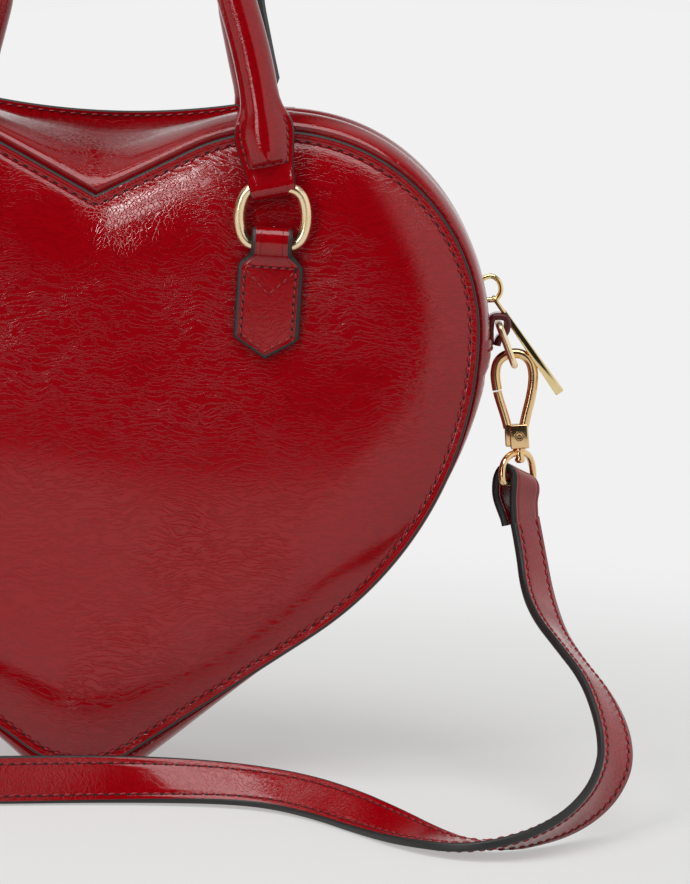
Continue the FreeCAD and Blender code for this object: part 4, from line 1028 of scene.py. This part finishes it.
# Diagonal lines lie twice as far apart along the rope as straight ones, so its strands come every 16 mm
strands = add_node(cotton_rope, "TexWave",
                   {"Vector": place.outputs["UV"], "Scale": wave_scale(7.89), "Distortion": 1.0},
                   bands_direction="DIAGONAL")
two_tone(cotton_rope, strands.outputs["Fac"], "#A89878", "#DACFB4", {"Roughness": 0.9, "Sheen Weight": 0.25},
         (strands.outputs["Fac"], 0.6, 0.5))
for side, facing, _ in sides:
    rings = []
    for i in range(core_count + 1):
        s = core_start + i * (arch_end - core_start) / core_count
        place, out = handle_station(s, facing)
        ring = []
        for k in range(core_sides):
            angle = 2 * math.pi * k / core_sides
            radius = core_radius * (0.93 + 0.07 * math.cos(3 * angle + s / 4.5))
            spot = place + out * radius * math.cos(angle)
            ring.append(Vector((spot.x, facing * (ring_plane + radius * math.sin(angle)), spot.y)) / 1000)
        rings.append(ring)
    core = skin(side + "_handle_rope", with_left_half(rings), [cotton_rope])
    finished(core, side + "_handle", "rope_core", side + "_handle_core", angle=80.0)


# Handle tabs: four pointed tabs, each one strip of doubled leather. Its narrow neck is folded round the
# ring's lower bar and its pointed body is sewn flat to the panel, with a row across and a V below the neck.
low_bar, tab_foot, tab_lean = 174.85, 138.85, math.radians(1.8)
tab_lip, tab_pitch, tab_stitch = 1.35, 0.0026, 0.0020
tab_face, tab_face_slope = -41.58, -0.0525
tab_leather = crinkled_leather("crinkled_patent_leather_tab", (1.923, 4.1667))
# The tab's middle line as (y, height over its foot): up the panel, round the ring's bar and down behind it
tab_line = [(-40.5, 0.0), (-40.5, 0.15), (-40.52, 0.45), (-40.55, 0.95), (-40.6, 1.75), (-40.67, 3.15),
            (-40.85, 6.65), (-41.2, 13.15), (-41.5, 19.15), (-41.95, 27.65), (-42.1, 30.75), (-43.1, 33.15),
            (-45.4, 34.55), (-46.3, 38.75), (-44.4, 41.75), (-41.6, 41.35), (-40.3, 38.35), (-40.4, 34.15),
            (-40.5, 30.15)]
# The tab's half width, its half thickness and how far its sides trail its point, each after the distance
# along the tab
tab_outline = [(0.0, 10.3), (1.2, 10.5), (29.0, 10.5), (30.2, 10.2), (31.2, 9.5), (32.2, 8.4), (33.2, 7.6),
               (34.4, 6.9), (36.0, 6.5), (60.0, 6.4)]
tab_thickness = [(0.0, 0.15), (0.15, 0.6), (0.5, 1.0), (1.2, 1.18), (29.0, 1.18), (35.0, 0.75), (60.0, 0.7)]
tab_trail = [(0.0, 6.4), (4.0, 6.4), (21.0, 0.0), (60.0, 0.0)]
# Rows of stitches as (distance across, height over the foot): round the body, across it, and the V
tab_stitches = [[(-8.2, 28.6), (-8.2, 8.0), (-7.6, 7.4), (0.0, 2.7), (7.6, 7.4), (8.2, 8.0), (8.2, 28.6)],
                [(-8.0, 29.4), (8.0, 29.4)], [(-7.8, 28.4), (0.0, 20.8), (7.8, 28.4)]]


def leather_band(name, line, across, wides, halves, materials, peaks=None, lip=1.0, point_rows=0):
    """Flat band along a line of points in millimetres: the way its width runs, then its half width and half
    thickness at each point. Its cut edges are rounded and painted, the paint reaching `lip` over the face.
    peaks is how far the band's sides trail behind its middle at each point, for a pointed end."""
    rings = []
    brink = [(lip + 1.8, 1.0), (lip + 1.35, 0.96), (lip + 0.95, 0.84), (lip + 0.55, 0.96), (lip, 0.97),
             (0.5, 0.84), (0.15, 0.5), (0.0, 0.0)]
    for i, (point, way) in enumerate(zip(line, directions(line))):
        through = way.cross(across).normalized()
        wide, half, peak = wides[i], halves[i], peaks[i] if peaks else 0.0
        quarter = [(0.0, 1.0), (wide * 0.3, 1.0), (wide * 0.55, 1.0)] + [(wide - o, t) for o, t in brink]
        section = quarter + [(a, -t) for a, t in quarter[-2::-1]]
        section += [(-a, -t) for a, t in quarter[1:]] + [(-a, t) for a, t in quarter[-2:0:-1]]
        rings.append([(point + across * a + way * (peak * abs(a) / wide) + through * (t * half)) / 1000
                      for a, t in section])
    edge = len(quarter) - 1
    edges = set(range(edge - 3, edge + 3)) | set(range(3 * edge - 3, 3 * edge + 3))
    return skin(name, rings, materials, lambda i, j: 1 if j in edges or i < point_rows else 0)


def row_value(rows, s):
    """Value at s of rows of (s, value), with straight runs between them."""
    for (a, low), (b, high) in zip(rows, rows[1:]):
        if s <= b:
            return low + (high - low) * max(s - a, 0.0) / (b - a)
    return rows[-1][1]


tab_points = spline_points([Vector((0, y, tab_foot + z)) for y, z in tab_line])
tab_runs = [0.0]
for a, b in zip(tab_points, tab_points[1:]):
    tab_runs.append(tab_runs[-1] + (b - a).length)
tab_wides, tab_halves, tab_peaks = [[row_value(rows, s) for s in tab_runs]
                                    for rows in (tab_outline, tab_thickness, tab_trail)]
point_rows = sum(1 for s in tab_runs if s < 1.3)
for side, facing, _ in sides:
    for end, hand in ends:
        place = (Matrix.Diagonal((1, -facing, 1, 1))
                 @ Matrix.Translation(Vector((hand * ring_across, 0, low_bar)) / 1000)
                 @ Matrix.Rotation(hand * tab_lean, 4, (0, 1, 0))
                 @ Matrix.Translation(Vector((0, 0, -low_bar)) / 1000))
        name = "%s_%s_handle_tab" % (side, end)
        tab = leather_band(name + "_leather", tab_points, Vector((1, 0, 0)), tab_wides, tab_halves,
                           [tab_leather, edge_paint], tab_peaks, tab_lip, point_rows)
        tab.data.transform(place)
        finished(tab, "root", "red_leather", name)
        places = []
        for row in tab_stitches:
            line = [place @ (Vector((x, tab_face + tab_face_slope * s, tab_foot + s)) / 1000) for x, s in row]
            places += spaced(line, [Vector((0, facing, 0))] * len(line), tab_pitch)
        sewn(name + "_stitches", places, "root", length=tab_stitch)


# Side rings: a rectangular ring of round wire on each side, plated in light gold. It hangs in the side loop
# and leans out, with the snap hook on its lower bar.
side_loop = Vector((131.7, 0.0, 149.2))
side_bar = Vector((137.1, 0.0, 136.45))
side_wire = 1.18
mirrored = Matrix.Diagonal((-1, 1, 1, 1))
hung = Matrix.Translation(side_bar / 1000) @ Matrix.Rotation(-hook_lean, 4, (0, 1, 0))
hands = (("right", hung, Matrix.Identity(4)), ("left", mirrored @ hung, mirrored))
# A quarter of the ring: millimetres across the gusset, and the share of its half height
rectangle = four_quarters([(8.05, 0.35), (8.05, 0.86), (6.6, 1.0), (2.5, 1.0)])
ring_middle, ring_fall = (side_bar + side_loop) / 2, (side_bar - side_loop) / 2
ring_line = [ring_middle + Vector((0, a, 0)) + ring_fall * b for a, b in rectangle]
for end, place, mirror in hands:
    ring = bent_wire(end + "_side_ring_wire", ring_line, side_wire, light_gold, closed=True)
    ring.data.transform(mirror)
    finished(ring, end + "_side_ring", "gold_metal", end + "_side_ring")


# Side loops: a short strip of the red leather on each side, wrapped round the ring's upper bar and sewn to
# the gusset. Its edges are dyed, so the eye gets a thin dark red line, with fibres about 1.1 mm apart.
loop_half_width, loop_half_thick = 4.9, 1.12
loop_stitch_out, loop_stitch_drop, loop_stitch_reach = 0.1, 5.4, 4.0
dyed_edge = new_material("dark_red_edge_dye")
place = add_node(dyed_edge, "TexCoord")
fibres = add_node(dyed_edge, "TexNoise",
                  {"Vector": place.outputs["Object"], "Scale": 1000 / 1.1111, "Detail": 2.0})
two_tone(dyed_edge, fibres, "#33040A", "#6E0A14", {"Roughness": 0.4, "IOR": 1.5})
loop_line = spline_points([side_loop + Vector((x, 0, z)) for x, z in (
    (-2.6, -6.4), (-2.7, -4.0), (-2.9, -1.6), (-2.6, 2.6), (0.0, 3.1), (2.7, 2.5), (2.7, -1.6),
    (1.2, -3.4), (-0.1, -4.6), (-0.4, -6.6))])
for end, hand in ends:
    mirror = mirrored if hand < 0 else Matrix.Identity(4)
    loop = leather_band(end + "_side_loop_leather", loop_line, Vector((0, 1, 0)),
                        [loop_half_width] * len(loop_line), [loop_half_thick] * len(loop_line),
                        [tab_leather, dyed_edge])
    loop.data.transform(mirror)
    finished(loop, "root", "red_leather", end + "_side_tab")
    line = [Vector((hand * (side_loop.x + loop_stitch_out), y, side_loop.z - loop_stitch_drop)) / 1000
            for y in (-loop_stitch_reach, loop_stitch_reach)]
    places = spaced(line, [Vector((hand, 0, 0))] * 2, tab_pitch)
    sewn(end + "_side_loop_stitches", places, "root", length=tab_stitch)


# Snap hooks: cast zinc, plated in warm rose gold. A pear-shaped bow runs into a block, a sprung gate closes
# the bow's mouth on the bag's side, and a socket-headed pin through the block carries the gate.
rose_gold = polished_plate("polished_rose_gold_plate", "#F6D7A8", "#E4B67C", gloss=0.16)
bow_wire, gate_wire, block_round = 1.68, 1.5, 0.5
# Lines as (x, z) from the ring's bar, and turned outlines as (radius, distance along the axis)
bow_line = [(-5.9, -8.2), (-6.2, -6.0), (-6.35, -2.6), (-5.3, 1.2), (-2.6, 3.2), (0.2, 3.6), (3.0, 3.1),
            (5.5, 0.8), (6.3, -3.0), (6.0, -6.8), (4.8, -12.0), (3.1, -17.2), (2.1, -21.0)]
gate_line = [(-5.95, -8.7), (-5.5, -11.0), (-4.6, -14.5), (-3.5, -19.0), (-3.2, -21.0)]
collar_outline = [(0.3, -29.2), (1.9, -29.2), (2.15, -28.8), (2.15, -28.1), (1.8, -27.6)]
pin_outline = [(0.1, -2.2), (0.6, -2.2), (0.7, -2.8), (1.0, -2.85), (1.1, -2.45), (1.25, -2.45),
               (1.35, -2.95), (1.65, -2.95), (1.75, -2.4), (1.75, 2.4), (1.5, 2.75), (0.2, 2.8)]
post_axis, pin_place = (0.2, 0, 0), (0.4, 0, -23.8)


def turned(name, outline, centre, upright, metal, facets=20):
    """Piece turned on a lathe: its outline as (radius, distance along its axis), in millimetres."""
    rings = []
    for radius, along in outline:
        ring = []
        for k in range(facets):
            angle = 2 * math.pi * k / facets
            a, b = radius * math.cos(angle), radius * math.sin(angle)
            ring.append((Vector(centre) + Vector((a, b, along) if upright else (a, along, b))) / 1000)
        rings.append(ring)
    return skin(name, rings, [metal])


for end, place, mirror in hands:
    bow = bent_wire(end + "_hook_bow", [(x, 0, z) for x, z in bow_line], bow_wire, rose_gold)
    block = rounded_block(end + "_hook_block", (-2.7, -2.5, -28.0), (3.5, 2.5, -20.0), block_round, rose_gold)
    collar = turned(end + "_hook_collar", collar_outline, post_axis, True, rose_gold)
    hook = joined([bow, block, collar], end + "_hook_cast")
    hook.data.transform(place)
    finished(hook, end + "_hook", "gold_metal", end + "_hook_body")
    lever = bent_wire(end + "_gate_lever", [(x, 0, z) for x, z in gate_line], gate_wire, rose_gold)
    heel = rounded_block(end + "_gate_root", (-4.3, -1.5, -27.2), (-2.2, 1.5, -19.6), block_round, rose_gold)
    gate = joined([lever, heel], end + "_gate_cast")
    gate.data.transform(place)
    finished(gate, end + "_gate", "gold_metal", end + "_hook_gate")
    pin = turned(end + "_gate_pin_turned", pin_outline, pin_place, False, rose_gold)
    pin.data.transform(place)
    finished(pin, end + "_hook", "gold_metal", end + "_gate_pin")


# Gate springs: a small leaf of tempered spring steel in each block, behind the gate, which it pushes shut.
# Grey and half bright, with clouds of blueing about 1.1 mm wide. It is out of sight.
spring_leaf = new_material("tempered_spring_steel")
place = add_node(spring_leaf, "TexCoord")
blueing = add_node(spring_leaf, "TexNoise", {"Vector": place.outputs["Object"], "Scale": 1000 / 1.1111})
two_tone(spring_leaf, blueing, "#6E6C6A", "#A3A09C", {"Metallic": 1.0, "Roughness": 0.35})
for end, hand in ends:
    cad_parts[end + "_gate_spring"].material_slots[0].material = spring_leaf


# Swivel eyes: a D-shaped eye of round wire under each hook, plated as the hook is, on a turned post that
# swivels in the hook's block. The strap runs through the eye.
eye_way = Vector((0.574, 0.819, 0.0))
band_way = Vector((0.819, -0.574, 0.0))
eye_wire, eye_aside = 1.15, Vector((-0.8, 0, 0))
eye_loop = [(-6.5, -38.4), (6.5, -41.2), (9.0, -41.0), (9.4, -36.6), (8.2, -32.0), (4.0, -29.6), (0.0, -29.4),
            (-4.0, -29.6), (-8.2, -31.6), (-9.4, -35.0), (-9.2, -38.2)]
eye_line = [eye_way * a + eye_aside + Vector((0, 0, z)) for a, z in eye_loop]
post_outline = [(0.2, -33.0), (1.2, -32.8), (1.75, -32.1), (1.75, -31.6), (1.35, -31.0), (1.35, -28.2),
                (0.8, -27.8)]
for end, place, mirror in hands:
    wire = bent_wire(end + "_eye_wire", eye_line, eye_wire, rose_gold, closed=True)
    post = turned(end + "_eye_post", post_outline, post_axis, True, rose_gold)
    eye = joined([wire, post], end + "_swivel_eye_cast")
    eye.data.transform(place)
    finished(eye, "root", "gold_metal", end + "_swivel_eye")


# Strap ends: the last part of the strap, folded over the eye's bar and sewn back on itself. The fold stands
# off behind the bar, so both painted edges show, and two slanted rows of stitches hold the layers.
fold_half_width, fold_half_thick, fold_slope = 7.4, 1.28, 0.42
fold_stitch_out, fold_stitches = 1.36, (((-5.2, -51.6), (5.2, -46.4)), ((-5.2, -48.4), (0.5, -45.6)))
# The fold's middle line as (distance through the strap, height under the ring's bar)
fold_line = spline_points([band_way * n + Vector((0, 0, z)) for n, z in (
    (0.75, -52.2), (0.7, -48.5), (0.8, -45.5), (1.2, -43.0), (1.8, -40.4), (1.8, -37.6), (-0.6, -35.6),
    (-3.4, -36.8), (-5.2, -39.8), (-6.0, -43.2), (-5.6, -45.8), (-4.1, -48.8), (-3.1, -51.0), (-2.8, -53.0))])
for end, place, mirror in hands:
    fold = leather_band(end + "_strap_fold", fold_line, eye_way, [fold_half_width] * len(fold_line),
                        [fold_half_thick] * len(fold_line), [strap_leather, edge_paint])
    for v in fold.data.vertices:
        # The fold hangs askew, with its near edge up
        v.co.z -= fold_slope * ramp(v.co.z * 1000, -50.0, -40.0) * v.co.dot(eye_way)
    fold.data.transform(place)
    finished(fold, "root", "red_leather", end + "_strap_end")
    outward = (place.to_3x3() @ band_way).normalized()
    places = []
    for row in fold_stitches:
        line = [place @ ((band_way * fold_stitch_out + eye_way * a + Vector((0, 0, z))) / 1000)
                for a, z in row]
        places += spaced(line, [outward] * 2, handle_pitch)
    sewn(end + "_strap_fold_stitches", places, "root", length=handle_stitch)


# Padding: a sheet of thin white foam behind each panel, which keeps the panel crowned. Its cells are about
# 0.8 mm across. It is out of sight.
inside_edge, inside_insets = 12.2, [13.0, 15.0, 18.0, 22.0, 26.0, 31.0]
edge_stand = crown(inside_insets[0])
foam_under, foam_thick, foam_rim = -1.75, 1.1, (-1.45, -0.6)
foam_sheet = new_material("white_polyurethane_foam")
place = add_node(foam_sheet, "TexCoord")
cells = add_node(foam_sheet, "TexVoronoi", {"Vector": place.outputs["Object"], "Scale": 1000 / 0.8})
two_tone(foam_sheet, cells, "#C9C4B6", "#EDE9DE", {"Roughness": 0.95}, (cells, 0.6, 0.4))
for side, facing, cleft_angle in sides:
    foam = heart_panel(side + "_foam_sheet", cleft_angle, facing,
                       [(inside_edge, edge_stand + height) for height in foam_rim], inside_insets, foam_thick,
                       [foam_sheet], lambda i: 0, under=foam_under)
    finished(foam, "root", "padding", side + "_foam")


# Lining: plain-woven dark red polyester, a heart behind each panel and a band behind the gusset, sewn in at
# the seams. The eye gets a fine matt weave, drawn with threads 0.8 mm apart, since real ones are too fine to
# show. It is seen only through the open zip.
lining_under, lining_thick, lining_rim = -3.1, 0.5, (-2.2, -1.9)
lining_gap, lining_inside = 0.35, 0.8
lining_cloth = new_material("woven_polyester_lining")
place = add_node(lining_cloth, "TexCoord")
warp = add_node(lining_cloth, "TexWave", {"Vector": place.outputs["Object"], "Scale": wave_scale(0.789)},
                bands_direction="X")
weft = add_node(lining_cloth, "TexWave", {"Vector": place.outputs["Object"], "Scale": wave_scale(0.789)},
                bands_direction="Z")
weave = add_node(lining_cloth, "Math", {0: weft.outputs["Fac"], 1: warp.outputs["Fac"]}, operation="ADD")
two_tone(lining_cloth, weave, "#3C0A10", "#5E141C", {"Roughness": 0.75, "Sheen Weight": 0.3},
         (weave, 0.4, 0.1))
for side, facing, cleft_angle in sides:
    cloth = heart_panel(side + "_lining_cloth", cleft_angle, facing,
                        [(inside_edge, edge_stand + height) for height in lining_rim], inside_insets,
                        lining_thick, [lining_cloth], lambda i: 0, under=lining_under)
    finished(cloth, "root", "lining_fabric", side + "_lining")
    width, height = cloth.dimensions.x, cloth.dimensions.z
    outline = heart_outline(-inside_edge, cleft_angle)
lining_ys = [y for y in gusset_ys if abs(y) < half_depth - 2.0]
lining_rings = [gusset_ring(y, gusset_wall + lining_gap, gusset_columns) for y in lining_ys]
lining_rings += [gusset_ring(y, gusset_wall + lining_inside, gusset_columns) for y in reversed(lining_ys)]
gusset_cloth = skin("gusset_lining_cloth", lining_rings, [lining_cloth], round_closed=False, long_closed=True)
finished(gusset_cloth, "root", "lining_fabric", "gusset_lining")
